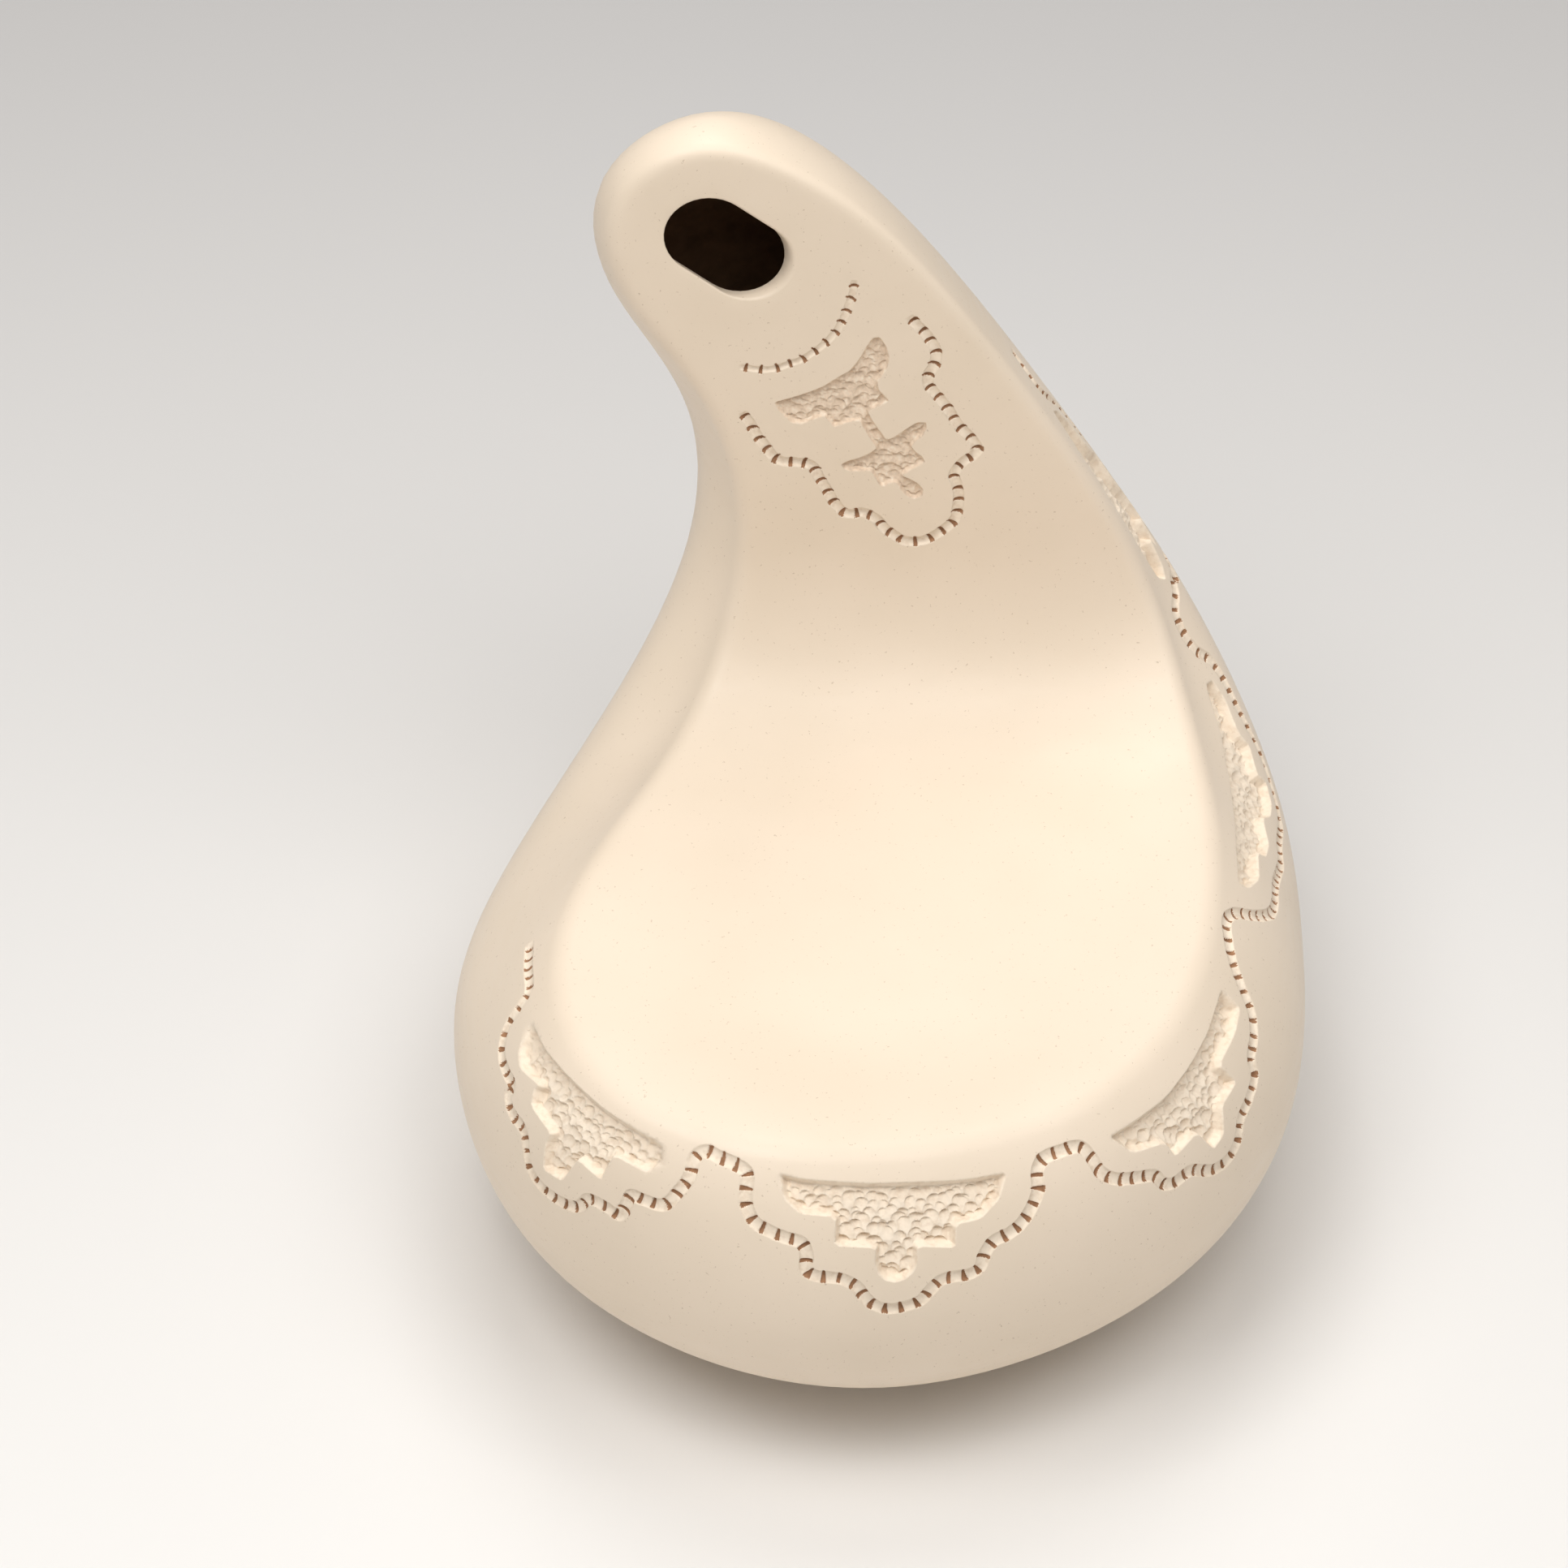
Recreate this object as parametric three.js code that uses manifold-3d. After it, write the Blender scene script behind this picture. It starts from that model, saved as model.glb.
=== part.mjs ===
// A hand-carved clay vessel. A round bowl has a dished face on top, and at the back
// that face bends up into a hollow neck that leans to the left and ends in a round head,
// with one long mouth cut through it. The fired body is a single piece.
// Millimetres and degrees, +Z up, front towards -Y, origin at the centre of the foot.
import * as THREE from 'three';
import Module from 'manifold-3d';

const wasm = await Module();
wasm.setup();

// Clay thickness.
const WALL = 6;
const FLOOR = 8;

// Heights above the table.
const BELLY_HEIGHT = 50;
const DISH_HEIGHT = 87;

// The flat foot, and how the bowl rolls up from it to the belly.
const FOOT_RADIUS = 42;
const FOOT_SETBACK = 18;
const FOOT_SLOPE = 8;
const BOWL_ROUNDNESS = 0.55;

// The face is a flat template, bent along its length. A place on it is given by x, and by
// its run: the length along the face, counted from the axis of the bowl towards the head.
const BEND_START = 40;
const BEND_LENGTH = 72;
const NECK_LEAN = 6;
const DISH_HOLLOW = 2.5;
const DISH_SHOULDER = 35;
const RIM_ROUND = 5;
const INSIDE_ROUND = 5;

// The mouth is a long round-ended hole, pared thin from inside.
const MOUTH_X = -32.3;
const MOUTH_RUN = 180.8;
const MOUTH_LENGTH = 29;
const MOUTH_WIDTH = 19;
const MOUTH_TURN = -37;
const MOUTH_SKEW = 2;
const LIP_WALL = 3;
const LIP_ROUND = 1.2;

// Ribs of the body, from the front round by the right, the head and the left. Each climbs
// from the belly, at a plan position, to the rim, at a template position, and meets the rim
// at its flare: the angle to the face's square. Rise and reach set how far it keeps
// its direction at the belly and at the rim.
const rib = (rimX, rimRun, bellyX, bellyY, flare, rise, reach) => ({
  rimX, rimRun, bellyX, bellyY, flare, rise, reach,
});
const RIBS = [
  rib(0, -59.5, 0, -79.5, 52, 1.04, 1.06),
  rib(36, -49, 37.5, -69, 52, 1.04, 1.08),
  rib(60.5, -23, 69.5, -45.5, 52, 1.06, 1.08),
  rib(70, 9.5, 88.5, -11.5, 49, 1.1, 1.06),
  rib(71, 43.5, 93, 28, 41, 1.12, 0.94),
  rib(64.5, 77, 91.5, 66, 26, 1.08, 0.7),
  rib(52, 108.5, 82, 96, 8, 0.94, 0.6),
  rib(35.5, 137, 65.5, 116, 0, 0.94, 0.72),
  rib(17.5, 163.5, 47, 128, -1, 0.94, 0.82),
  rib(-1.5, 186.5, 30.5, 135, 1, 0.96, 0.8),
  rib(-21.5, 201, 16, 138.5, 8, 1, 0.78),
  rib(-41, 204.5, 4.5, 139.5, 15, 1.02, 0.68),
  rib(-56.5, 190, -6, 138, 23, 1.14, 0.66),
  rib(-53, 167.5, -17, 133, 33, 1.3, 0.58),
  rib(-39.5, 145, -31, 123, 30, 1.32, 0.46),
  rib(-31, 118.5, -49, 106, 30, 1.1, 0.44),
  rib(-32.5, 87, -68.5, 80.5, 35, 1.04, 0.54),
  rib(-45.5, 55.5, -84.5, 48, 40, 1.04, 0.84),
  rib(-61, 25, -92.5, 13, 45, 1.08, 1.02),
  rib(-68.5, -7.5, -86.5, -23.5, 49, 1.06, 1.08),
  rib(-59, -39, -67.5, -53.5, 51, 1.04, 1.08),
  rib(-32.5, -56.5, -36.5, -73.5, 51, 1.04, 1.06),
];

// How finely the surfaces are divided.
const OUTSIDE = { perRib: 4, lower: 6, wall: 12, round: 3, across: 14 };
const INSIDE = { perRib: 2, lower: 4, wall: 8, round: 2, across: 8 };
const MOUTH_STEPS = 9;
const LIP_STEPS = 3;
const BEND_STEPS = 24;
const SPLINE_PASSES = 40;
const NUDGE = 0.01;

const UP = new THREE.Vector3(0, 0, 1);
const RIGHT = new THREE.Vector3(1, 0, 0);
const radians = THREE.MathUtils.degToRad;

function mix(a, wa, b, wb) {
  return a.clone().multiplyScalar(wa).addScaledVector(b, wb);
}

// A smooth closed curve through the values, with no jump in slope or curvature.
function closedSpline(values) {
  const count = values.length;
  const after = (i) => (i + 1) % count;
  const before = (i) => (i + count - 1) % count;
  let slopes = values.map((_, i) => (values[after(i)] - values[before(i)]) / 2);
  for (let pass = 0; pass < SPLINE_PASSES; pass += 1) {
    slopes = slopes.map((_, i) => {
      const rise = 3 * (values[after(i)] - values[before(i)]);
      return (rise - slopes[before(i)] - slopes[after(i)]) / 4;
    });
  }
  return (t) => {
    const whole = Math.floor(t);
    const i = ((whole % count) + count) % count;
    const u = t - whole;
    const [h00, h10, h01, h11] = hermiteWeights(u);
    return h00 * values[i] + h10 * slopes[i] + h01 * values[after(i)] + h11 * slopes[after(i)];
  };
}

function hermiteWeights(u) {
  const square = u * u;
  const cube = square * u;
  return [2 * cube - 3 * square + 1, cube - 2 * square + u, 3 * square - 2 * cube, cube - square];
}

function hermite(from, to, leave, arrive, u) {
  const [h00, h10, h01, h11] = hermiteWeights(u);
  return mix(from, h00, leave, h10).addScaledVector(to, h01).addScaledVector(arrive, h11);
}

function bezier(a, b, c, d, u) {
  const v = 1 - u;
  return mix(a, v * v * v, b, 3 * v * v * u).addScaledVector(c, 3 * v * u * u).addScaledVector(d, u * u * u);
}

// Values of all ribs, read at any place t round the rim, where whole numbers are the ribs.
const ribValue = {};
for (const key of Object.keys(RIBS[0])) {
  ribValue[key] = closedSpline(RIBS.map((entry) => entry[key]));
}

// The tilt of the face: level over the bowl, then rising evenly through the bend to the neck.
function faceTilt(run) {
  const turned = THREE.MathUtils.smoothstep(run, BEND_START, BEND_START + BEND_LENGTH);
  return radians(90 - NECK_LEAN) * turned;
}

// The template's place (x, run) in space, with the face's outward square and its uphill direction.
function facePlace(x, run) {
  const bent = THREE.MathUtils.clamp(run - BEND_START, 0, BEND_LENGTH);
  const step = bent / BEND_STEPS;
  let back = Math.min(run, BEND_START);
  let height = DISH_HEIGHT;
  for (let i = 0; i < BEND_STEPS; i += 1) {
    const tilt = faceTilt(BEND_START + (i + 0.5) * step);
    back += step * Math.cos(tilt);
    height += step * Math.sin(tilt);
  }
  const tilt = faceTilt(run);
  const beyond = Math.max(run - BEND_START - BEND_LENGTH, 0);
  back += beyond * Math.cos(tilt);
  height += beyond * Math.sin(tilt);
  return {
    at: new THREE.Vector3(x, back, height),
    square: new THREE.Vector3(0, -Math.sin(tilt), Math.cos(tilt)),
    uphill: new THREE.Vector3(0, Math.cos(tilt), Math.sin(tilt)),
  };
}

// The direction, in the template, that leaves the rim square to its outline.
function rimOutward(t) {
  const along = new THREE.Vector2(
    ribValue.rimX(t + NUDGE) - ribValue.rimX(t - NUDGE),
    ribValue.rimRun(t + NUDGE) - ribValue.rimRun(t - NUDGE),
  ).normalize();
  return new THREE.Vector2(along.y, -along.x);
}

// The rim at t: its corner before it is rounded, and the way the wall runs down from it.
function rimAt(t) {
  const outward = rimOutward(t);
  const x = ribValue.rimX(t);
  const run = ribValue.rimRun(t);
  const flare = radians(ribValue.flare(t));
  const { at, square, uphill } = facePlace(x, run);
  const across = mix(RIGHT, outward.x, uphill, outward.y);
  const down = mix(square, -Math.cos(flare), across, Math.sin(flare));
  return { x, run, outward, flare, corner: at, down };
}

// A place on the face, in from the rim by a margin, with its point at a depth in the clay.
function inFromRim(rim, margin, depth) {
  const x = rim.x - rim.outward.x * margin;
  const run = rim.run - rim.outward.y * margin;
  const { at, square } = facePlace(x, run);
  return { x, run, point: at.addScaledVector(square, -depth) };
}

// The belly's place at t, moved in by the inset along its own square.
function bellyPlace(t, inset) {
  const along = new THREE.Vector2(
    ribValue.bellyX(t + NUDGE) - ribValue.bellyX(t - NUDGE),
    ribValue.bellyY(t + NUDGE) - ribValue.bellyY(t - NUDGE),
  ).normalize();
  const x = ribValue.bellyX(t) - along.y * inset;
  const y = ribValue.bellyY(t) + along.x * inset;
  return new THREE.Vector3(x, y, BELLY_HEIGHT);
}

// The wall's outside at t, from the belly at u = 0 to the start of the rim's rounding at 1.
function wallPoint(t, u) {
  const rim = rimAt(t);
  const belly = bellyPlace(t, 0);
  const top = rim.corner.addScaledVector(rim.down, RIM_ROUND);
  const length = top.distanceTo(belly);
  const leave = UP.clone().multiplyScalar(length * ribValue.rise(t));
  const arrive = rim.down.clone().multiplyScalar(-length * ribValue.reach(t));
  return hermite(belly, top, leave, arrive, u);
}

// The wall's inside, one thickness in from the outside, square to it.
function wallInside(t, u) {
  const along = wallPoint(t + NUDGE, u).sub(wallPoint(t - NUDGE, u));
  const climb = wallPoint(t, u + NUDGE).sub(wallPoint(t, u - NUDGE));
  return wallPoint(t, u).addScaledVector(along.cross(climb).normalize(), -WALL);
}

// The bowl's underside at t, rolling up from the flat foot towards the belly.
function underBowl(t, inset, floor, u) {
  const belly = bellyPlace(t, inset);
  const centre = new THREE.Vector3(0, FOOT_SETBACK, BELLY_HEIGHT);
  const plan = bellyPlace(t, 0).sub(centre).normalize();
  const foot = new THREE.Vector3(0, FOOT_SETBACK, floor).addScaledVector(plan, FOOT_RADIUS);
  const spread = Math.hypot(belly.x - foot.x, belly.y - foot.y) * BOWL_ROUNDNESS;
  const footHandle = foot.clone().addScaledVector(plan, spread * Math.cos(radians(FOOT_SLOPE)));
  footHandle.z += spread * Math.sin(radians(FOOT_SLOPE));
  const bellyHandle = belly.clone();
  bellyHandle.z -= (BELLY_HEIGHT - floor) * BOWL_ROUNDNESS;
  return bezier(foot, footHandle, bellyHandle, belly, u);
}

// One column of the outside at t: foot, belly, wall, and the rounding on to the face.
function outsideColumn(t, division) {
  const rim = rimAt(t);
  const edge = inFromRim(rim, RIM_ROUND, 0);
  const points = [];
  for (let i = 0; i < division.lower; i += 1) points.push(underBowl(t, 0, 0, i / division.lower));
  for (let i = 0; i < division.wall; i += 1) points.push(wallPoint(t, i / division.wall));
  points.push(...rounding(wallPoint(t, 1), rim.corner, edge.point, division.round));
  return { points, edge };
}

// One column of the hollow, where the wall's inside meets the underside of the face.
function insideColumn(t, division) {
  const rim = rimAt(t);
  const cornerMargin = WALL * Math.tan(Math.PI / 4 - rim.flare / 2);
  const corner = inFromRim(rim, cornerMargin, WALL).point;
  const edge = inFromRim(rim, cornerMargin + INSIDE_ROUND, WALL);
  const length = wallPoint(t, 1).distanceTo(bellyPlace(t, 0));
  const short = Math.max(cornerMargin + INSIDE_ROUND - RIM_ROUND, 0);
  const end = 1 - short / (length * ribValue.reach(t));
  const points = [];
  for (let i = 0; i < division.lower; i += 1) {
    points.push(underBowl(t, WALL, FLOOR, i / division.lower));
  }
  for (let i = 0; i < division.wall; i += 1) points.push(wallInside(t, (end * i) / division.wall));
  points.push(...rounding(wallInside(t, end), corner, edge.point, division.round));
  return { points, edge };
}

// A rounding between two points, tangent to the lines that meet at their corner.
function rounding(from, corner, to, steps) {
  const points = [];
  for (let i = 0; i <= steps; i += 1) {
    const u = i / steps;
    const before = mix(from, 1 - u, corner, u);
    points.push(mix(before, 1 - u, mix(corner, 1 - u, to, u), u));
  }
  return points;
}

// A closed skin of shared points and triangles, turned into a solid for joining and cutting.
class Skin {
  constructor() {
    this.points = [];
    this.triangles = [];
  }

  add(point) {
    this.points.push(point.x, point.y, point.z);
    return this.points.length / 3 - 1;
  }

  // Rings of equal length, counterclockwise seen from the last one.
  wrap(rings) {
    for (let j = 0; j + 1 < rings.length; j += 1) {
      const low = rings[j];
      const high = rings[j + 1];
      low.forEach((a, i) => {
        const next = (i + 1) % low.length;
        this.triangles.push(a, low[next], high[next], a, high[next], high[i]);
      });
    }
  }

  // A fan from a centre point, which faces the way its ring turns.
  fan(centre, ring, facingUp) {
    ring.forEach((a, i) => {
      const b = ring[(i + 1) % ring.length];
      if (facingUp) this.triangles.push(centre, a, b);
      else this.triangles.push(centre, b, a);
    });
  }

  // A strip between two rows of points that run from right to left.
  strip(near, far) {
    const last = Math.max(near.length, far.length) - 1;
    for (let k = 0; k < last; k += 1) {
      const a = near[Math.min(k, near.length - 1)];
      const b = near[Math.min(k + 1, near.length - 1)];
      const c = far[Math.min(k, far.length - 1)];
      const d = far[Math.min(k + 1, far.length - 1)];
      if (c !== d) this.triangles.push(a, c, d);
      if (a !== b) this.triangles.push(a, d, b);
    }
  }

  solid() {
    return new wasm.Manifold(new wasm.Mesh({
      numProp: 3,
      vertProperties: Float32Array.from(this.points),
      triVerts: Uint32Array.from(this.triangles),
    }));
  }
}

// How far the face dips at a place: nothing at the rim, and nothing on the upright neck.
function dishDip(place, rimPlaces) {
  let nearest = Infinity;
  rimPlaces.forEach((from, i) => {
    const to = rimPlaces[(i + 1) % rimPlaces.length];
    const dx = to.x - from.x;
    const dr = to.run - from.run;
    const share = ((place.x - from.x) * dx + (place.run - from.run) * dr) / (dx * dx + dr * dr);
    const u = THREE.MathUtils.clamp(share, 0, 1);
    nearest = Math.min(nearest, Math.hypot(place.x - from.x - u * dx, place.run - from.run - u * dr));
  });
  const level = 1 - THREE.MathUtils.smoothstep(place.run, BEND_START, BEND_START + BEND_LENGTH);
  return DISH_HOLLOW * level * THREE.MathUtils.smoothstep(nearest, 0, DISH_SHOULDER);
}

// The face between the rim's two sides, in rows that join each place on the right to its
// partner on the left.
function addFace(skin, rim, places, depth, across) {
  const half = rim.length / 2;
  const rows = [[rim[0]]];
  for (let i = 1; i < half; i += 1) {
    const right = places[i];
    const left = places[rim.length - i];
    const row = [rim[i]];
    for (let k = 1; k < across; k += 1) {
      const x = THREE.MathUtils.lerp(right.x, left.x, k / across);
      const run = THREE.MathUtils.lerp(right.run, left.run, k / across);
      const { at, square } = facePlace(x, run);
      row.push(skin.add(at.addScaledVector(square, -depth - dishDip({ x, run }, places))));
    }
    row.push(rim[rim.length - i]);
    rows.push(row);
  }
  rows.push([rim[half]]);
  for (let i = 0; i < half; i += 1) skin.strip(rows[i], rows[i + 1]);
}

// The outside or the hollow as a solid: columns all the way round, closed by foot and face.
function bodyForm(columnAt, depth, division) {
  const count = RIBS.length * division.perRib;
  const columns = [];
  for (let i = 0; i < count; i += 1) columns.push(columnAt(i / division.perRib, division));
  const skin = new Skin();
  const rings = columns[0].points.map((_, j) => columns.map(({ points }) => skin.add(points[j])));
  const base = skin.add(new THREE.Vector3(0, FOOT_SETBACK, columns[0].points[0].z));
  skin.fan(base, rings[0], false);
  skin.wrap(rings);
  addFace(skin, rings[rings.length - 1], columns.map(({ edge }) => edge), depth, division.across);
  return skin.solid();
}

// Points round a long round-ended hole, grown outwards by a margin.
function mouthOutline(grow) {
  const end = MOUTH_WIDTH / 2 + grow;
  const straight = (MOUTH_LENGTH - MOUTH_WIDTH) / 2;
  const turn = radians(MOUTH_TURN);
  const outline = [];
  for (const side of [1, -1]) {
    for (let i = 0; i <= MOUTH_STEPS; i += 1) {
      const angle = -Math.PI / 2 + (Math.PI * i) / MOUTH_STEPS;
      const local = new THREE.Vector2(straight + end * Math.cos(angle), end * Math.sin(angle));
      outline.push(local.multiplyScalar(side).rotateAround(new THREE.Vector2(), turn));
    }
  }
  return outline;
}

// The tool that opens the mouth: pared wide inside, narrow at the lip and rounded outwards.
function mouthCutter() {
  const centre = facePlace(MOUTH_X, MOUTH_RUN);
  const pared = WALL - LIP_WALL;
  const sections = [
    { depth: WALL + LIP_WALL, grow: pared },
    { depth: WALL, grow: pared },
    { depth: LIP_WALL, grow: 0 },
  ];
  for (let i = LIP_STEPS; i >= 0; i -= 1) {
    const angle = (Math.PI / 2) * (i / LIP_STEPS);
    sections.push({ depth: LIP_ROUND * (1 - Math.cos(angle)), grow: LIP_ROUND * (1 - Math.sin(angle)) });
  }
  sections.push({ depth: -WALL, grow: LIP_ROUND });
  const skin = new Skin();
  const rings = sections.map(({ depth, grow }) => {
    const shift = -MOUTH_SKEW * THREE.MathUtils.clamp(depth / LIP_WALL, 0, 1);
    return mouthOutline(grow).map((local) => {
      const point = centre.at.clone().addScaledVector(RIGHT, local.x + shift);
      point.addScaledVector(centre.uphill, local.y);
      return skin.add(point.addScaledVector(centre.square, -depth));
    });
  });
  const deepest = sections[0].depth;
  const inner = centre.at.clone().addScaledVector(RIGHT, -MOUTH_SKEW);
  skin.fan(skin.add(inner.addScaledVector(centre.square, -deepest)), rings[0], false);
  skin.wrap(rings);
  const outer = centre.at.clone().addScaledVector(centre.square, WALL);
  skin.fan(skin.add(outer), rings[rings.length - 1], true);
  return skin.solid();
}

function geometryOf(solid) {
  const mesh = solid.getMesh();
  const geometry = new THREE.BufferGeometry();
  geometry.setAttribute('position', new THREE.BufferAttribute(mesh.vertProperties, 3));
  geometry.setIndex(new THREE.BufferAttribute(mesh.triVerts, 1));
  geometry.computeVertexNormals();
  return geometry;
}

const burnishedClay = new THREE.MeshStandardMaterial({
  color: new THREE.Color().setRGB(0.925, 0.847, 0.753, THREE.SRGBColorSpace),
  roughness: 0.45,
  metalness: 0,
});

const clay = bodyForm(outsideColumn, 0, OUTSIDE)
  .subtract(bodyForm(insideColumn, WALL, INSIDE))
  .subtract(mouthCutter());
const vesselBody = new THREE.Mesh(geometryOf(clay), burnishedClay);
vesselBody.name = 'vessel_body';
vesselBody.position.y = -FOOT_SETBACK;

const vessel = new THREE.Group();
vessel.name = 'carved_vessel';
vessel.add(vesselBody);

export default vessel;
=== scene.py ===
"""A hand-carved clay vessel: one fired skin with sunken clouds and a stitched groove.

The tables are in millimetres. Objects are in metres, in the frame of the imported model.
"""
import math

import bpy
import numpy as np
from bpy.props import FloatProperty, FloatVectorProperty, IntProperty, PointerProperty
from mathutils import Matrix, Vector, geometry, kdtree


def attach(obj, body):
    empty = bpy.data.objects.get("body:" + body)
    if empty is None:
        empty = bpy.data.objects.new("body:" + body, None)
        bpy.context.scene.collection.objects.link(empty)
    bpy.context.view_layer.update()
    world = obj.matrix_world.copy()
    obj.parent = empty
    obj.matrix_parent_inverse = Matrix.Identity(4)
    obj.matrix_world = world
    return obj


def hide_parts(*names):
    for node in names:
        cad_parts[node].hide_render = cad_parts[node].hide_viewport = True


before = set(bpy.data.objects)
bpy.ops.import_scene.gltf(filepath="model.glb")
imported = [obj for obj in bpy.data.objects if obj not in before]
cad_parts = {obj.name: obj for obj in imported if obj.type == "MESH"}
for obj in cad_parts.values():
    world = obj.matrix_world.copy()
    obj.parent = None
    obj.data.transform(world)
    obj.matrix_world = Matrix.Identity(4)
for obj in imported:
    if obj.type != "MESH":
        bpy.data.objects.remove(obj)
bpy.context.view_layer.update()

bl_info = {
    "name": "Carved Clay Vessel",
    "version": (1, 0, 0),
    "blender": (4, 5, 0),
    "location": "View3D > Sidebar > Vessel",
    "description": "Builds a hollow clay vessel with carved clouds and a stitched groove",
    "category": "Add Mesh",
}

MM = 0.001
RIGHT = np.array([1.0, 0.0, 0.0])
UP = np.array([0.0, 0.0, 1.0])
NUDGE = 0.01

# Ribs of the body, from the front round by the right, the head and the left: the rim's place
# on the face (x, run), the belly's place in plan (x, y), the flare of the wall at the rim in
# degrees, and how far the wall keeps its direction at the belly and at the rim.
RIBS = np.array([
    (0, -59.5, 0, -79.5, 52, 1.04, 1.06),
    (36, -49, 37.5, -69, 52, 1.04, 1.08),
    (60.5, -23, 69.5, -45.5, 52, 1.06, 1.08),
    (70, 9.5, 88.5, -11.5, 49, 1.1, 1.06),
    (71, 43.5, 93, 28, 41, 1.12, 0.94),
    (64.5, 77, 91.5, 66, 26, 1.08, 0.7),
    (52, 108.5, 82, 96, 8, 0.94, 0.6),
    (35.5, 137, 65.5, 116, 0, 0.94, 0.72),
    (17.5, 163.5, 47, 128, -1, 0.94, 0.82),
    (-1.5, 186.5, 30.5, 135, 1, 0.96, 0.8),
    (-21.5, 201, 16, 138.5, 8, 1, 0.78),
    (-41, 204.5, 4.5, 139.5, 15, 1.02, 0.68),
    (-56.5, 190, -6, 138, 23, 1.14, 0.66),
    (-53, 167.5, -17, 133, 33, 1.3, 0.58),
    (-39.5, 145, -31, 123, 30, 1.32, 0.46),
    (-31, 118.5, -49, 106, 30, 1.1, 0.44),
    (-32.5, 87, -68.5, 80.5, 35, 1.04, 0.54),
    (-45.5, 55.5, -84.5, 48, 40, 1.04, 0.84),
    (-61, 25, -92.5, 13, 45, 1.08, 1.02),
    (-68.5, -7.5, -86.5, -23.5, 49, 1.06, 1.08),
    (-59, -39, -67.5, -53.5, 51, 1.04, 1.08),
    (-32.5, -56.5, -36.5, -73.5, 51, 1.04, 1.06),
])

# Outlines of the clouds on the wall: how far round the rim from the front, and how far down
# from its crest.
WALL_CLOUDS = {
    "left": [
        (-89.3, 8.4), (-80.8, 7), (-70.8, 5), (-58.7, 4.4), (-45, 4.8), (-44.2, 8.8),
        (-46.6, 11.7), (-53.9, 11.7), (-54.7, 14.9), (-55.5, 18.2), (-61.1, 17.4), (-61.9, 19),
        (-64.3, 24.7), (-70, 26.5), (-70, 20), (-69.2, 17.4), (-76.6, 17.4), (-77.4, 14.2),
        (-76.6, 12.6), (-84.2, 15.7), (-87.6, 14.2),
    ],
    "front": [
        (-21.7, 4.8), (-16.9, 5.5), (-10.4, 5.8), (-3.5, 6.3), (3.6, 6.6), (11.1, 7.3),
        (16.8, 7.7), (23.5, 8), (21.6, 13.2), (17.8, 16.5), (13, 16.8), (13, 21.8),
        (5.6, 20.4), (5.7, 23.6), (4.9, 26), (3.3, 27.5), (1.4, 28), (-0.5, 27.4), (-2, 25.9),
        (-2.8, 23.4), (-2.7, 20), (-10.4, 19.4), (-10.4, 13.3), (-16.9, 12.9), (-20.1, 10.1),
    ],
    "right": [
        (89.4, 6.8), (84.3, 7), (78.3, 7.9), (69.6, 8.7), (60.7, 9.5), (51.6, 9.1), (45.2, 9),
        (49.8, 15), (58, 17.8), (60.7, 22.5), (66.9, 21.7), (72.2, 29.1), (75.7, 28.4),
        (75.7, 22.2), (81.7, 21.9), (77.4, 14.8), (86, 14.6), (91.1, 13.3), (90, 8.8),
    ],
    "second": [
        (174.6, 12.5), (165.2, 13.1), (153.2, 11.1), (142.9, 9.1), (131.9, 7.5), (120.8, 7.3),
        (122.5, 11.1), (130, 15.6), (139, 16.8), (142.5, 21), (149, 24.2), (155, 24),
        (160, 29.5), (165.2, 33), (169.5, 33.5), (167.5, 28), (173, 28.5), (172, 23.5),
        (177, 21.5), (178, 17),
    ],
    "third": [
        (193.3, 7.1), (198.4, 4.7), (206.9, 3.6), (217, 3.4), (228, 4), (241, 6.5), (240, 10),
        (236, 13), (230, 14.5), (229.5, 19), (223, 19.5), (222, 24), (218, 26.5), (214, 24),
        (213.5, 19.5), (206, 19), (205.5, 14.5), (199, 13.5), (194.5, 11),
    ],
}

# The linked pair of clouds on the neck's front: x and run on the face.
FACE_CLOUDS = {
    "linked": [
        (-23, 141.8), (-19.3, 143), (-15.4, 144.5), (-12.4, 146), (-9.2, 148.5), (-7.1, 149.8),
        (-5.6, 151.9), (-4.5, 153.8), (-3.5, 156.1), (-2.2, 158.4), (-0.6, 158.6), (0.8, 156.3),
        (1.5, 153.1), (1, 150.4), (-0.2, 148.3), (-1, 146.9), (-0.7, 145), (1.6, 142.1),
        (0.1, 141), (-2.2, 139.9), (-2.9, 139.1), (-1.8, 136.7), (-0.4, 134.4), (1, 132),
        (2.4, 132.4), (3.8, 133.5), (5.5, 135), (7.6, 136.5), (9.5, 136.5), (9.7, 135),
        (8.9, 132.9), (7.3, 131.4), (6.5, 130.1), (7.3, 128.8), (8.8, 127.5), (9.5, 126),
        (8.1, 125), (6.4, 123.9), (4.6, 122.4), (6, 121.7), (8, 120.4), (9.2, 118.7), (9.1, 117),
        (7.4, 116.1), (5.8, 116.8), (4.5, 118.3), (3.4, 120.4), (2, 120.4), (0.8, 119.5),
        (-0.2, 119.7), (-1.1, 121.5), (-2.2, 123.7), (-4.5, 123.5), (-6.6, 123.5), (-8, 124.1),
        (-8.7, 125.4), (-7.1, 126.4), (-4.8, 127.1), (-2.8, 128.2), (-1, 129.7), (-2.6, 132.5),
        (-4, 135.2), (-4.6, 136.8), (-6.3, 136.7), (-8.7, 135.8), (-10.3, 135.2), (-11.2, 136.5),
        (-12.2, 138.1), (-14.7, 137.1), (-17.3, 135.9), (-19.2, 136.3), (-20.9, 138),
        (-22.3, 139.9),
    ],
}

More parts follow.
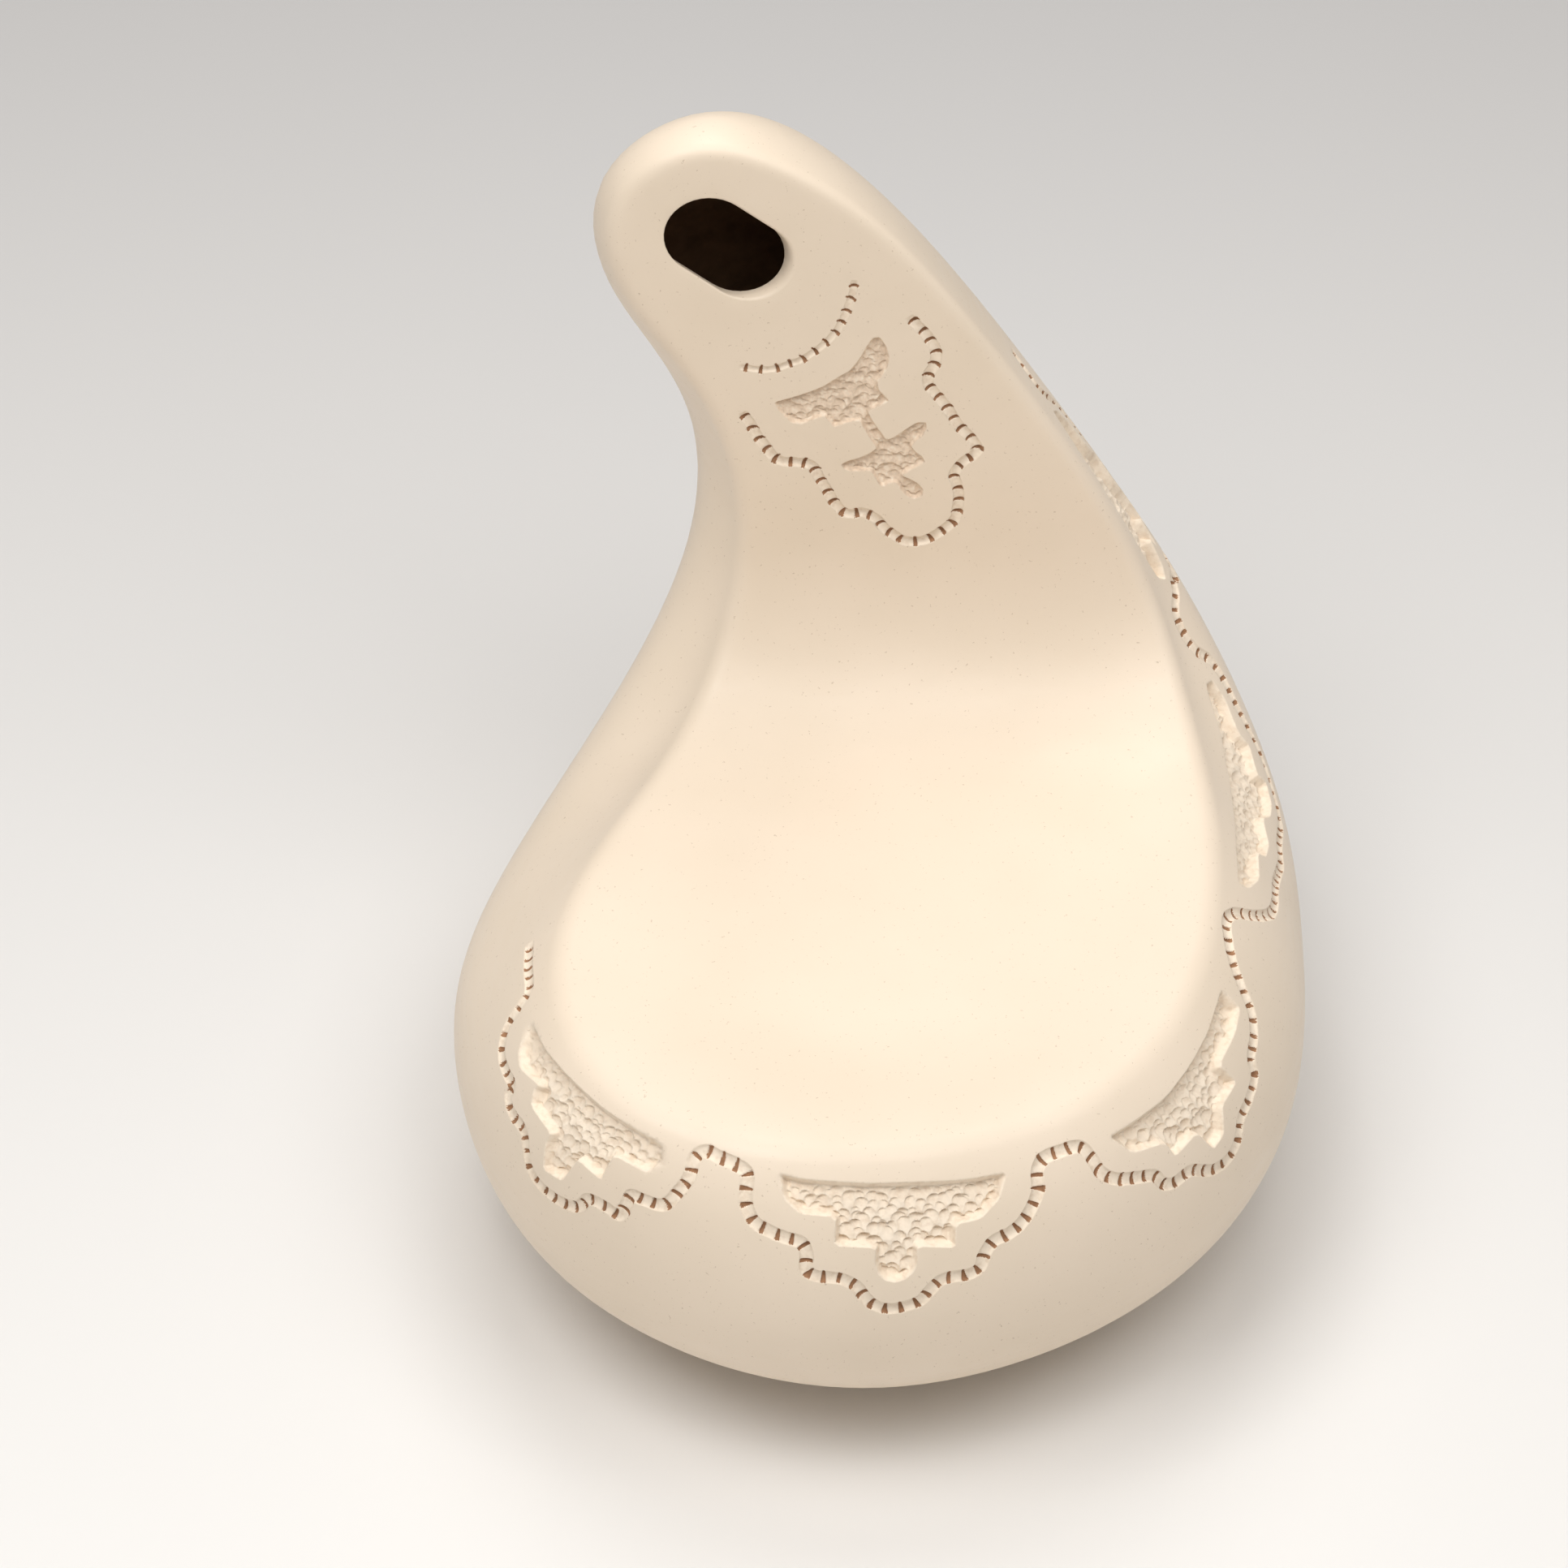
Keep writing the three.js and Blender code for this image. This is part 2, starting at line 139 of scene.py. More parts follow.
# The stitched groove that goes down round every cloud, in the wall's measures.
WALL_GROOVES = [[
    (-111.2, 10.8), (-104, 9.4), (-97.6, 8.6), (-96.1, 12.4), (-96.1, 17.5), (-93.5, 20.8),
    (-88.4, 20.7), (-85, 20.2), (-85.3, 23.3), (-82.5, 24.4), (-77.4, 23.7), (-75.8, 26.7),
    (-74.1, 30), (-70, 30.9), (-64.3, 29.8), (-60.3, 27.7), (-57.8, 24.1), (-53.9, 23.4),
    (-51, 23.6), (-49.8, 20.5), (-49, 17.9), (-46.6, 17.6), (-42.5, 17), (-40.1, 13.3),
    (-38.5, 9.3), (-38.3, 5.4), (-36.6, 3.4), (-33.7, 3.8), (-30.2, 4.5), (-27.6, 6),
    (-27.3, 10.4), (-26.5, 13.4), (-24.9, 15.8), (-21.7, 17.3), (-19.3, 18.1), (-16.4, 18.9),
    (-15.3, 21.4), (-15.3, 24.6), (-13.7, 26), (-11.2, 26.3), (-8.7, 26.7), (-6.1, 28.3),
    (-4.4, 30.9), (-2.7, 32.9), (0, 34.2), (2.7, 34.1), (6.4, 33), (8.3, 30.7), (10.4, 28.6),
    (13, 28.2), (15.9, 28.3), (18.1, 27.2), (18.9, 24.2), (20.6, 21.8), (23.5, 21),
    (26, 19.4), (28, 16.6), (29.3, 13.4), (29.5, 9.6), (31.2, 7.5), (34.5, 7.3), (38.6, 7.9),
    (40.6, 10.8), (42.6, 15.2), (46, 18.3), (50.5, 20.5), (55.2, 22.9), (58, 26.4),
    (61, 28.1), (65.2, 28.5), (69, 31.2), (73, 33.9), (77.4, 35), (80.4, 33.6), (81.7, 29.9),
    (85.4, 28.4), (88.6, 26.3), (88.6, 22.4), (92, 20.4), (94.4, 16.9), (95.6, 12), (98, 8.2),
    (102.6, 5.6), (107.4, 4.6), (111.4, 6.9), (114.8, 10.9), (119.1, 15.2), (125, 19.8),
    (131, 22.3), (137, 23.5), (143.8, 26.5), (149.5, 29.6), (154.9, 31), (159.2, 33.4),
    (163.8, 36.5), (168.5, 38.2), (173.5, 38.8), (178, 37.4), (179.3, 33.8), (180.6, 29.6),
    (183.1, 26.4), (183.9, 22.6), (183.1, 18.6), (181.4, 13.6), (182.4, 9.9), (186, 8.8),
    (189.4, 10.8), (193.4, 14.2), (197.5, 16.9), (200.6, 20.2), (202.4, 23.4), (207, 24.4),
    (210, 27.5), (213, 30.4), (218, 31.6), (223, 30.2), (226.4, 27), (228, 24), (232, 23.2),
    (234.2, 19.6), (238.6, 17.6), (242.6, 14.6), (244.4, 10.6), (247.6, 9.4), (252, 10),
    (257, 11.2),
]]

# The grooves on the neck's front, in the face's measures: a fine arc under the head, and the
# frame round the linked clouds.
FACE_ARCS = [[
    (-29.5, 150.8), (-26.5, 150.3), (-23.2, 150.4), (-20.1, 151.6), (-17.1, 152.9),
    (-14, 155.3), (-11.4, 157.9), (-9.7, 160.4), (-8.1, 164), (-7.2, 167.2), (-6.4, 169.9),
    (-6.2, 172.1),
]]
FACE_FRAMES = [
    [
        (-29.4, 138.2), (-28.1, 136), (-26.8, 133.1), (-25, 130.3), (-23.4, 127.7),
        (-21.2, 126.2), (-18.3, 126), (-15, 125.1), (-13.3, 121.8), (-11.5, 118.2),
        (-10.3, 115.7), (-8.2, 112.8), (-6.2, 112.2), (-3.9, 112.6), (-0.9, 110.8),
        (0.7, 108.5), (2.7, 106.7), (5.2, 105), (8, 104.8), (10.5, 105.5), (13.6, 107.8),
        (16.1, 110.6), (16.7, 113.9), (16.9, 117), (16.4, 120.1), (15.8, 122.8), (17.6, 126),
        (19.8, 127.8), (20.6, 129.7), (18.8, 132.9), (16.9, 135.1), (15.5, 137.4),
        (14.3, 139.7), (12.7, 142.2), (11.3, 144.1), (9.9, 146.3), (9.9, 149.1), (10.9, 151.1),
        (11.4, 153.6), (11.1, 155.7), (10, 157.8), (8.9, 159.6), (7.5, 161.3), (6.1, 163),
    ],
]

# The softboxes: name, bearing in degrees from the front to the right, share of the power.
SOFTBOXES = (
    ("front_softbox", 0, 0.15),
    ("right_softbox", 60, 0.23),
    ("back_softbox", 180, 0.26),
    ("left_softbox", 300, 0.36),
)
SOFTBOX_RISE = math.radians(65)
SOFTBOX_SIZE, SOFTBOX_DISTANCE, SOFTBOX_AIM = 0.7, 1.35, Vector((0, 0, 0.08))
SOFTBOX_TINT = (1.0, 0.99, 0.975)

# The table, in metres: half its side, and where its painted shade starts and ends towards the
# back, darker there as if the light fell off.
TABLE_HALF, SHADE_START, SHADE_END = 4, -0.25, 0.55

# What the camera looks at, and the width of its sensor in millimetres.
VIEW_MIDDLE, SENSOR_WIDTH = Vector((-20.9, 5.2, 109.8)) * MM, 36.0

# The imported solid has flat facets, which lie a little inside the true curves.
FACET_SHARE = 0.9985

# Which surface a triangle lies on, and so how it is refined.
FIXED, WALL_SIDE, FACE_SIDE = range(3)

# What a triangle is made of: the place of its finish in body_materials. The neck clouds' floors
# are darker partly as painted shade of their rough floor and partly as dustier clay.
# The stamped cuts' finish is a painted shade: a dark brown inside their narrow pits.
BURNISHED, CARVED, STAMP_SHADE, INSIDE, SCRAPED_DUST_AND_SHADE = range(5)

# Before refining: steps round the rim, in ribs, on the outside and the inside, and the mesh
# widths on the face and under it.
OUTSIDE_STEP, INSIDE_STEP, FACE_MESH, UNDER_FACE_MESH = 0.125, 0.25, 5.0, 7.0

# Points on each round end of the mouth, and across the rounding of its lip.
MOUTH_STEPS, LIP_STEPS = 20, 5

# The underside of the foot lies below the first height, and the mouth above the second.
FOOT_TOP, MOUTH_BASE = 0.1, 170

# A groove: distance between its samples, where its ends fade in, how far from an end its
# first stamp lies, and the least depth that counts as carved.
LINE_STEP, GROOVE_FADE, END_MARGIN, GROOVED = 0.4, (-1.2, 0.4), 0.6, 0.06

# Stamps of the fine arc and of the frame, and the frame's width, as shares of the groove's.
ARC_STAMP, FRAME_STAMP, FRAME_WIDTH = 0.85, 0.95, 0.85

# A stamp's walls: width along the groove and across it. Then the unevenness of the hand in
# its place, turn, size, taper and depth.
STAMP_WALLS = (0.2, 0.25)
STAMP_SHIFT, STAMP_TURN, STAMP_SIZE = 0.12, 0.09, 0.06
STAMP_TAPER, STAMP_DEPTHS = (0.05, 0.4), (0.75, 1.05)

# Scoops, in pitches: distance between their rows, radius, spread, and the pitch on the face.
SCOOP_ROWS, SCOOP_RADIUS, SCOOP_SPREAD, FACE_SCOOPS = 0.72, 0.62, 0.2, 0.85

# Scoops: spread of their turn, their sizes, the width of their steep wall, the share of their
# depth that lies above the floor, and the border of a cloud that stays free of them.
SCOOP_TURN, SCOOP_SIZES = 0.25, (0.65, 1.25)
SCOOP_WALL, SCOOP_RAISED, SCOOP_BORDER = 0.25, 0.4, 0.3

# Scoops have their full depth in clouds this deep, and this share of it in the shallowest.
FULL_CLOUD, SHALLOW_SCOOPS = 2.2, 0.45

# A cloud's corners are cut by this share of each side. It lies within the reach of its middle,
# on skin that faces its way.
CORNER_CUT, CLOUD_REACH, CLOUD_FACING = 0.12, 45, 0.2

QUICK_COARSER, EDGE_GROWTH, GROOVE_ZONE, CLOUD_ZONE, SPOT_SPACING = 2.2, 0.3, 2.2, 2.0, 1.5


def length(name, description, millimetres, least=0.0):
    return FloatProperty(name=name, description=description, default=millimetres * MM,
                         min=least, unit="LENGTH", precision=5)


def angle(name, description, degrees):
    return FloatProperty(name=name, description=description, default=math.radians(degrees),
                         subtype="ANGLE")


def factor(name, description, share):
    return FloatProperty(name=name, description=description, default=share,
                         min=0.0, max=1.0, subtype="FACTOR")


def colour(name, description, rgb):
    return FloatVectorProperty(name=name, description=description, default=linear(rgb),
                               min=0.0, max=1.0, size=3, subtype="COLOR")


def linear(rgb):
    """A colour given in the 0 to 255 of a screen, as the shaders read it."""
    shares = [channel / 255 for channel in rgb]
    return tuple(s / 12.92 if s <= 0.04045 else ((s + 0.055) / 1.055) ** 2.4 for s in shares)


class VesselSizes(bpy.types.PropertyGroup):
    wall: length("Wall", "Thickness of the clay wall", 6)
    floor: length("Floor", "Thickness of the clay above the foot", 8)
    belly_height: length("Belly Height", "Height of the widest part of the bowl", 50)
    dish_height: length("Dish Height", "Height of the face over the bowl", 87)
    foot_radius: length("Foot Radius", "Radius of the flat foot", 42)
    foot_setback: length("Foot Setback", "How far the foot lies behind the bowl's axis", 18)
    bend_start: length("Bend Start", "Run along the face at which it starts to bend up", 40)
    bend_length: length("Bend Length", "Length of the bend", 72)
    dish_hollow: length("Dish Hollow", "How far the face dips inside its rim", 2.5)
    dish_shoulder: length("Dish Shoulder", "How far in from the rim the dip levels out", 35)
    rim_round: length("Rim Rounding", "Length that the rounding takes off the rim's corner", 3)
    inside_round: length("Inside Rounding", "The same inside the hollow", 5)
    mouth_length: length("Mouth Length", "Length of the mouth, over its round ends", 29)
    mouth_width: length("Mouth Width", "Width of the mouth", 19)
    mouth_skew: length("Mouth Skew", "How far the mouth's tunnel moves to the left inside", 2)
    lip_wall: length("Lip Wall", "Depth of the mouth's straight part", 3)
    lip_round: length("Lip Rounding", "Radius of the mouth's outer edge", 0.6)
    foot_slope: angle("Foot Slope", "Slope at which the bowl leaves its foot", 8)
    neck_lean: angle("Neck Lean", "How far the neck leans back", 6)
    mouth_turn: angle("Mouth Turn", "Turn of the mouth on the face", -37)
    mouth_x: length("Mouth X", "Place of the mouth across the face", -32.3, least=-1.0)
    mouth_run: length("Mouth Run", "Place of the mouth along the face", 180.8)
    bowl_roundness: factor("Bowl Roundness", "Fullness of the bowl's underside", 0.55)


class VesselCarving(bpy.types.PropertyGroup):
    groove_width: length("Groove Width", "Width of the stitched groove", 2.7)
    arc_width: length("Arc Width", "Width of the fine arc's line under the head", 1.5)
    groove_depth: length("Groove Depth", "Depth of the groove between its stamps", 0.75)
    stamp_pitch: length("Stamp Pitch", "Distance from one stamped cut to the next", 3.1)
    stamp_length: length("Stamp Length", "Length of a stamped cut, across the groove", 2.9)
    stamp_width: length("Stamp Width", "Width of a stamped cut, along the groove", 0.95)
    stamp_depth: length("Stamp Depth", "Depth of a stamped cut below the groove", 0.45)
    wall_cloud_depth: length("Wall Cloud Depth", "Depth of the clouds round the bowl", 2.2)
    wall_cloud_slope: length("Wall Cloud Slope", "Width of the sloped sides of these", 1.2)
    face_cloud_depth: length("Face Cloud Depth", "Depth of the clouds on the neck", 0.9)
    face_cloud_slope: length("Face Cloud Slope", "Width of the sloped sides of these", 0.6)
    scoop_pitch: length("Scoop Pitch", "Distance between the scoops on a cloud's floor", 2.4)
    scoop_depth: length("Scoop Depth", "Depth of a scoop at its steep upper edge", 1.25)
    fine_edge: length("Fine Edge", "Longest mesh edge in the grooves", 0.3)
    cloud_edge: length("Cloud Edge", "Longest mesh edge in the clouds", 0.27)
    plain_edge: length("Plain Edge", "Longest mesh edge on the plain clay", 4.5)
    seed: IntProperty(name="Seed", description="Choice of the hand's small unevenness", default=7)


class VesselFinish(bpy.types.PropertyGroup):
    burnished: colour("Burnished Clay", "The smooth outside", (243, 226, 205))
    worn: colour("Warmer Patches", "Large soft patches on the smooth outside", (238, 221, 199))
    cut: colour("Carved Clay", "Floors and sides of the carving", (246, 231, 211))
    cut_dust: colour("Carved Clay Shade", "Darker grain of the carving", (234, 216, 194))
    # Partly painted shade: the darker floors of the neck's clouds stand in for the shade of their
    # rough floor, and partly for dustier clay.
    scraped: colour("Scraped Clay", "Rough floors of the clouds on the neck", (235, 213, 189))
    # Painted shade: a dark brown for the insides of the stamped cuts, standing in for the shade in
    # these narrow pits.
    stamped: colour("Stamped Clay", "Inside of the stamped cuts", (174, 132, 100))
    inside: colour("Raw Inside", "Clay inside the hollow", (150, 112, 80))
    sheen: factor("Burnished Roughness", "Roughness of the smooth outside", 0.42)


class VesselStudio(bpy.types.PropertyGroup):
    # The table runs from the near floor to the darker far floor: painted shade for light that
    # falls off towards the back.
    near_floor: colour("Near Floor", "Floor in front of the vessel", (250, 248, 245))
    far_floor: colour("Far Floor", "Floor behind the vessel", (194, 192, 191))
    sky: colour("Soft Fill", "Light from all round", (250, 248, 246))
    fill: FloatProperty(name="Fill Strength", description="Strength of the light from all round",
                        default=0.25, min=0.0)
    lamps: FloatProperty(name="Lamp Power", description="Power of all the softboxes together",
                         default=20.0, min=0.0, unit="POWER")
    camera_distance: length("Camera Distance", "From the camera to the middle of the vessel", 1200)
    camera_height: angle("Camera Elevation", "Angle above the table", 45)
    camera_lens: FloatProperty(name="Camera Lens", description="Focal length in millimetres",
                               default=130.46, min=1.0)


def smoothstep(value, low, high):
    share = np.clip((value - low) / (high - low), 0, 1)
    return share * share * (3 - 2 * share)


def unit(vectors):
    return vectors / np.linalg.norm(vectors, axis=-1, keepdims=True)


def hermite_weights(u):
    square, cube = u * u, u * u * u
    return 2 * cube - 3 * square + 1, cube - 2 * square + u, 3 * square - 2 * cube, cube - square


def closed_spline(values):
    """A smooth closed curve through the values, read at any place; whole numbers are values."""
    count = len(values)
    turned = np.roll(np.eye(count), 1, 0)
    slopes = np.linalg.solve(4 * np.eye(count) + turned + turned.T,
                             3 * (np.roll(values, -1) - np.roll(values, 1)))

    def read(t):
        whole = np.floor(t).astype(int)
        here, after = whole % count, (whole + 1) % count
        h00, h10, h01, h11 = hermite_weights(t - whole)
        return h00 * values[here] + h10 * slopes[here] + h01 * values[after] + h11 * slopes[after]

    return read


def rounding(start, corner, end, u):
    """A rounding between two points, tangent to the lines that meet at their corner."""
    return (1 - u) ** 2 * start + 2 * u * (1 - u) * corner + u * u * end


def outline_distance(points, outline):
    """The distance from each flat point to a closed outline."""
    nearest = np.full(len(points), np.inf)
    for a, b in zip(outline, np.roll(outline, -1, 0)):
        step = b - a
        share = np.clip(((points - a) @ step) / max(step @ step, 1e-9), 0, 1)
        away = points - a - share[:, None] * step
        nearest = np.minimum(nearest, np.hypot(away[:, 0], away[:, 1]))
    return nearest


def depth_inside(points, outline):
    """How far inside a flat outline each point lies; negative outside it."""
    inside = np.zeros(len(points), bool)
    for a, b in zip(outline, np.roll(outline, -1, 0)):
        crossing = (a[1] > points[:, 1]) != (b[1] > points[:, 1])
        rise = b[1] - a[1] if b[1] != a[1] else 1.0
        inside ^= crossing & (points[:, 0] < a[0] + (points[:, 1] - a[1]) * (b[0] - a[0]) / rise)
    away = outline_distance(points, outline)
    return np.where(inside, away, -away)


def staggered(low, high, step, row_share):
    """Flat places between two corners, in rows that stand half a step aside in turn."""
    rows = np.arange(low[1], high[1], step * row_share)
    return np.array([(x, y) for k, y in enumerate(rows)
                     for x in np.arange(low[0] + (k % 2) * step / 2, high[0], step)])


def side_shares(v):
    """How far up the underside, the wall and the rounding each place on the side is."""
    return [np.clip(v - part, 0, 1) for part in range(3)]


def by_share(v, under, wall, rounded):
    """Each place's point, from the part of the side that it lies on."""
    v = v[..., None]
    return np.where(v < 1, under, np.where(v < 2, wall, rounded))


class Millimetres:
    """The values of a group of settings, with its lengths in millimetres."""

    def __init__(self, group):
        for name in group.__annotations__:
            value = getattr(group, name)
            is_length = group.bl_rna.properties[name].unit == "LENGTH"
            setattr(self, name, value / MM if is_length else value)


class Form(Millimetres):
    """The vessel's plain shape. A place on its side is t round the rim, where whole numbers are
    ribs, and v up the side: 0 foot, 1 belly, 2 top of the wall, 3 the face."""

    def __init__(self, sizes):
        super().__init__(sizes)
        (self.rim_x, self.rim_run, self.belly_x, self.belly_y,
         self.flare, self.rise, self.reach) = [closed_spline(column) for column in RIBS.T]
        step = 0.25
        self.runs = np.arange(-120, 280, step)
        tilt = self.tilt(self.runs[:-1] + step / 2)
        self.backs = self.runs[0] + np.append(0, np.cumsum(np.cos(tilt) * step))
        self.heights = self.dish_height + np.append(0, np.cumsum(np.sin(tilt) * step))
        self.ts = np.linspace(0, len(RIBS), 4401)
        rim = np.stack([self.rim_x(self.ts), self.rim_run(self.ts)], -1)
        steps = np.linalg.norm(np.diff(rim, axis=0), axis=1)
        self.alongs = np.append(0, np.cumsum(steps))
        self.edge = self.edge_place(np.arange(0, len(RIBS), OUTSIDE_STEP), self.rim_round)
        t = np.arange(0, len(RIBS), INSIDE_STEP)
        self.inner_edge = self.edge_place(t, self.inner_margin(t))

    def bent(self, run):
        """How much of the bend lies below each run along the face."""
        return smoothstep(run, self.bend_start, self.bend_start + self.bend_length)

    def tilt(self, run):
        """Level over the bowl, then rising evenly through the bend to the neck."""
        return (math.pi / 2 - self.neck_lean) * self.bent(run)

    def face_frame(self, x, run):
        """Places on the bent face, with its outward square and its uphill direction."""
        back = np.interp(run, self.runs, self.backs)
        height = np.interp(run, self.runs, self.heights)
        tilt = self.tilt(run)
        level, none = np.cos(tilt), np.zeros_like(tilt)
        return (np.stack([x, back, height], -1), np.stack([none, -np.sin(tilt), level], -1),
                np.stack([none, level, np.sin(tilt)], -1))

    def outward(self, x_of, y_of, t):
        """The direction that leaves a closed outline square to it."""
        dx = x_of(t + NUDGE) - x_of(t - NUDGE)
        dy = y_of(t + NUDGE) - y_of(t - NUDGE)
        return np.stack([dy, -dx], -1) / np.hypot(dx, dy)[..., None]

    def rim(self, t):
        """The rim's corner before it is rounded, and the way the wall runs down from it."""
        out = self.outward(self.rim_x, self.rim_run, t)
        corner, square, uphill = self.face_frame(self.rim_x(t), self.rim_run(t))
        flare = np.radians(self.flare(t))[..., None]
        across = out[..., :1] * RIGHT + out[..., 1:] * uphill
        return corner, -square * np.cos(flare) + across * np.sin(flare)

    def inner_margin(self, t):
        """How far in from the rim the hollow's rounding ends on the underside of the face."""
        flare = np.radians(self.flare(t))
        return self.wall * np.tan(math.pi / 4 - flare / 2) + self.inside_round

    def edge_place(self, t, margin):
        """Places on the face, in from the rim by a margin."""
        margin = np.broadcast_to(margin, np.shape(t))[..., None]
        out = self.outward(self.rim_x, self.rim_run, t)
        return np.stack([self.rim_x(t), self.rim_run(t)], -1) - out * margin

    def face_point(self, places, depth=0.0, edge=None):
        """Points of the dished face, at a depth in the clay."""
        at, square, _ = self.face_frame(places[..., 0], places[..., 1])
        if edge is None:
            return at - square * depth
        level = 1 - self.bent(places[..., 1])
        inside = smoothstep(outline_distance(places, edge), 0, self.dish_shoulder)
        return at - square * (depth + self.dish_hollow * level * inside)[..., None]

    def belly(self, t, inset=0.0):
        out = self.outward(self.belly_x, self.belly_y, t) * inset
        x, y = self.belly_x(t) - out[..., 0], self.belly_y(t) - out[..., 1]
        return np.stack([x, y, np.full(np.shape(x), self.belly_height)], -1)

    def wall_point(self, t, u):
        corner, down = self.rim(t)
        belly, top = self.belly(t), corner + down * self.rim_round
        span = np.linalg.norm(top - belly, axis=-1)
        leave = UP * (span * self.rise(t))[..., None]
        arrive = -down * (span * self.reach(t))[..., None]
        h00, h10, h01, h11 = [weight[..., None] for weight in hermite_weights(u)]
        return h00 * belly + h10 * leave + h01 * top + h11 * arrive

    def wall_inside(self, t, u):
        """The wall's inside, one thickness in from the outside, square to it."""
        along = self.wall_point(t + NUDGE, u) - self.wall_point(t - NUDGE, u)
        climb = self.wall_point(t, u + NUDGE) - self.wall_point(t, u - NUDGE)
        return self.wall_point(t, u) - self.wall * unit(np.cross(along, climb))

    def under_bowl(self, t, u, inset=0.0, floor=0.0):
        """The bowl's underside, rolling up from the flat foot to the belly."""
        belly, centre = self.belly(t, inset), np.array([0, self.foot_setback, 0])
        plan = self.belly(t) - centre
        plan[..., 2] = 0
        plan = unit(plan)
        foot = centre + UP * floor + plan * self.foot_radius
        spread = np.linalg.norm((belly - foot)[..., :2], axis=-1, keepdims=True)
        rising = plan * math.cos(self.foot_slope) + UP * math.sin(self.foot_slope)
        leave = foot + rising * (spread * self.bowl_roundness)
        arrive = belly - UP * (self.belly_height - floor) * self.bowl_roundness
        u = u[..., None]
        w = 1 - u
        return w**3 * foot + 3 * w * w * u * leave + 3 * w * u * u * arrive + u**3 * belly

    def outside(self, t, v):
        """The outside at places on the side."""
        t, v = np.broadcast_arrays(t, v)
        under_u, wall_u, round_u = side_shares(v)
        corner, _ = self.rim(t)
        edge = self.face_point(self.edge_place(t, self.rim_round))
        rounded = rounding(self.wall_point(t, np.ones(t.shape)), corner, edge, round_u[..., None])
        return by_share(v, self.under_bowl(t, under_u), self.wall_point(t, wall_u), rounded)

    def inside(self, t, v):
        """The hollow, where the wall's inside meets the underside of the face."""
        t, v = np.broadcast_arrays(t, v)
        under_u, wall_u, round_u = side_shares(v)
        margin = self.inner_margin(t)
        corner = self.face_point(self.edge_place(t, margin - self.inside_round), self.wall)
        edge = self.face_point(self.edge_place(t, margin), self.wall)
        full = np.linalg.norm(self.wall_point(t, np.ones(t.shape)) - self.belly(t), axis=-1)
        end = 1 - np.maximum(margin - self.rim_round, 0) / (full * self.reach(t))
        rounded = rounding(self.wall_inside(t, end), corner, edge, round_u[..., None])
        under = self.under_bowl(t, under_u, self.wall, self.floor)
        return by_share(v, under, self.wall_inside(t, end * wall_u), rounded)

    def wall_place(self, marks):
        """Points on the outside at marks: how far round the rim, and down from its crest."""
        marks = np.asarray(marks, float)
        t = np.interp(marks[:, 0] % self.alongs[-1], self.alongs, self.ts)
        v = np.linspace(1, 3, 161)
        columns = self.outside(t[:, None], v[None, :])
        climbed = np.cumsum(np.linalg.norm(np.diff(columns, axis=1), axis=-1), axis=1)
        climbed = np.concatenate([np.zeros((len(t), 1)), climbed], axis=1)
        crest = climbed[:, np.searchsorted(v, 2.5)]
        wanted = crest - marks[:, 1]
        return np.array([[np.interp(w, c, column[:, axis]) for axis in range(3)]
                         for w, c, column in zip(wanted, climbed, columns)])

    def mouth_outline(self, grow, shift=0.0):
        """Places on the face round the long round-ended mouth."""
        end, straight = self.mouth_width / 2 + grow, (self.mouth_length - self.mouth_width) / 2
        angles = np.linspace(-math.pi / 2, math.pi / 2, MOUTH_STEPS)
        half = np.stack([straight + end * np.cos(angles), end * np.sin(angles)], -1)
        ring = np.concatenate([half, -half])
        c, s = math.cos(self.mouth_turn), math.sin(self.mouth_turn)
        ring = ring @ np.array([[c, s], [-s, c]])
        return ring + (self.mouth_x - shift, self.mouth_run)

    def mouth_frame(self):
        """The middle of the mouth on the face, with its outward square and uphill direction."""
        return self.face_frame(np.array(self.mouth_x), np.array(self.mouth_run))

    def mouth_rings(self):
        """The lip and the pared sides of the mouth, from the face inwards."""
        outlines = []
        for turned in np.linspace(0, math.pi / 2, LIP_STEPS):
            depth = self.lip_round * (1 - math.cos(turned))
            grow = self.lip_round * (1 - math.sin(turned))
            shift = self.mouth_skew * depth / self.lip_wall
            outlines.append((depth, self.mouth_outline(grow, shift)))
        outlines.append((self.lip_wall, self.mouth_outline(0, self.mouth_skew)))
        outlines.append((self.wall, self.pared_outline()))
        centre, square, uphill = self.mouth_frame()
        flats = [(depth, places - (self.mouth_x, self.mouth_run)) for depth, places in outlines]
        return [centre + flat[:, :1] * RIGHT + flat[:, 1:] * uphill - square * depth
                for depth, flat in flats]

    def pared_outline(self):
        """The mouth's wider outline inside, kept clear of the hollow's own rounding."""
        straight = self.mouth_outline(0, self.mouth_skew)
        grow = self.wall - self.lip_wall
        wide = self.mouth_outline(grow, self.mouth_skew)
        share = np.clip((depth_inside(wide, self.inner_edge) + grow - 0.5) / grow, 0, 1)
        return straight + (wide - straight) * share[:, None]


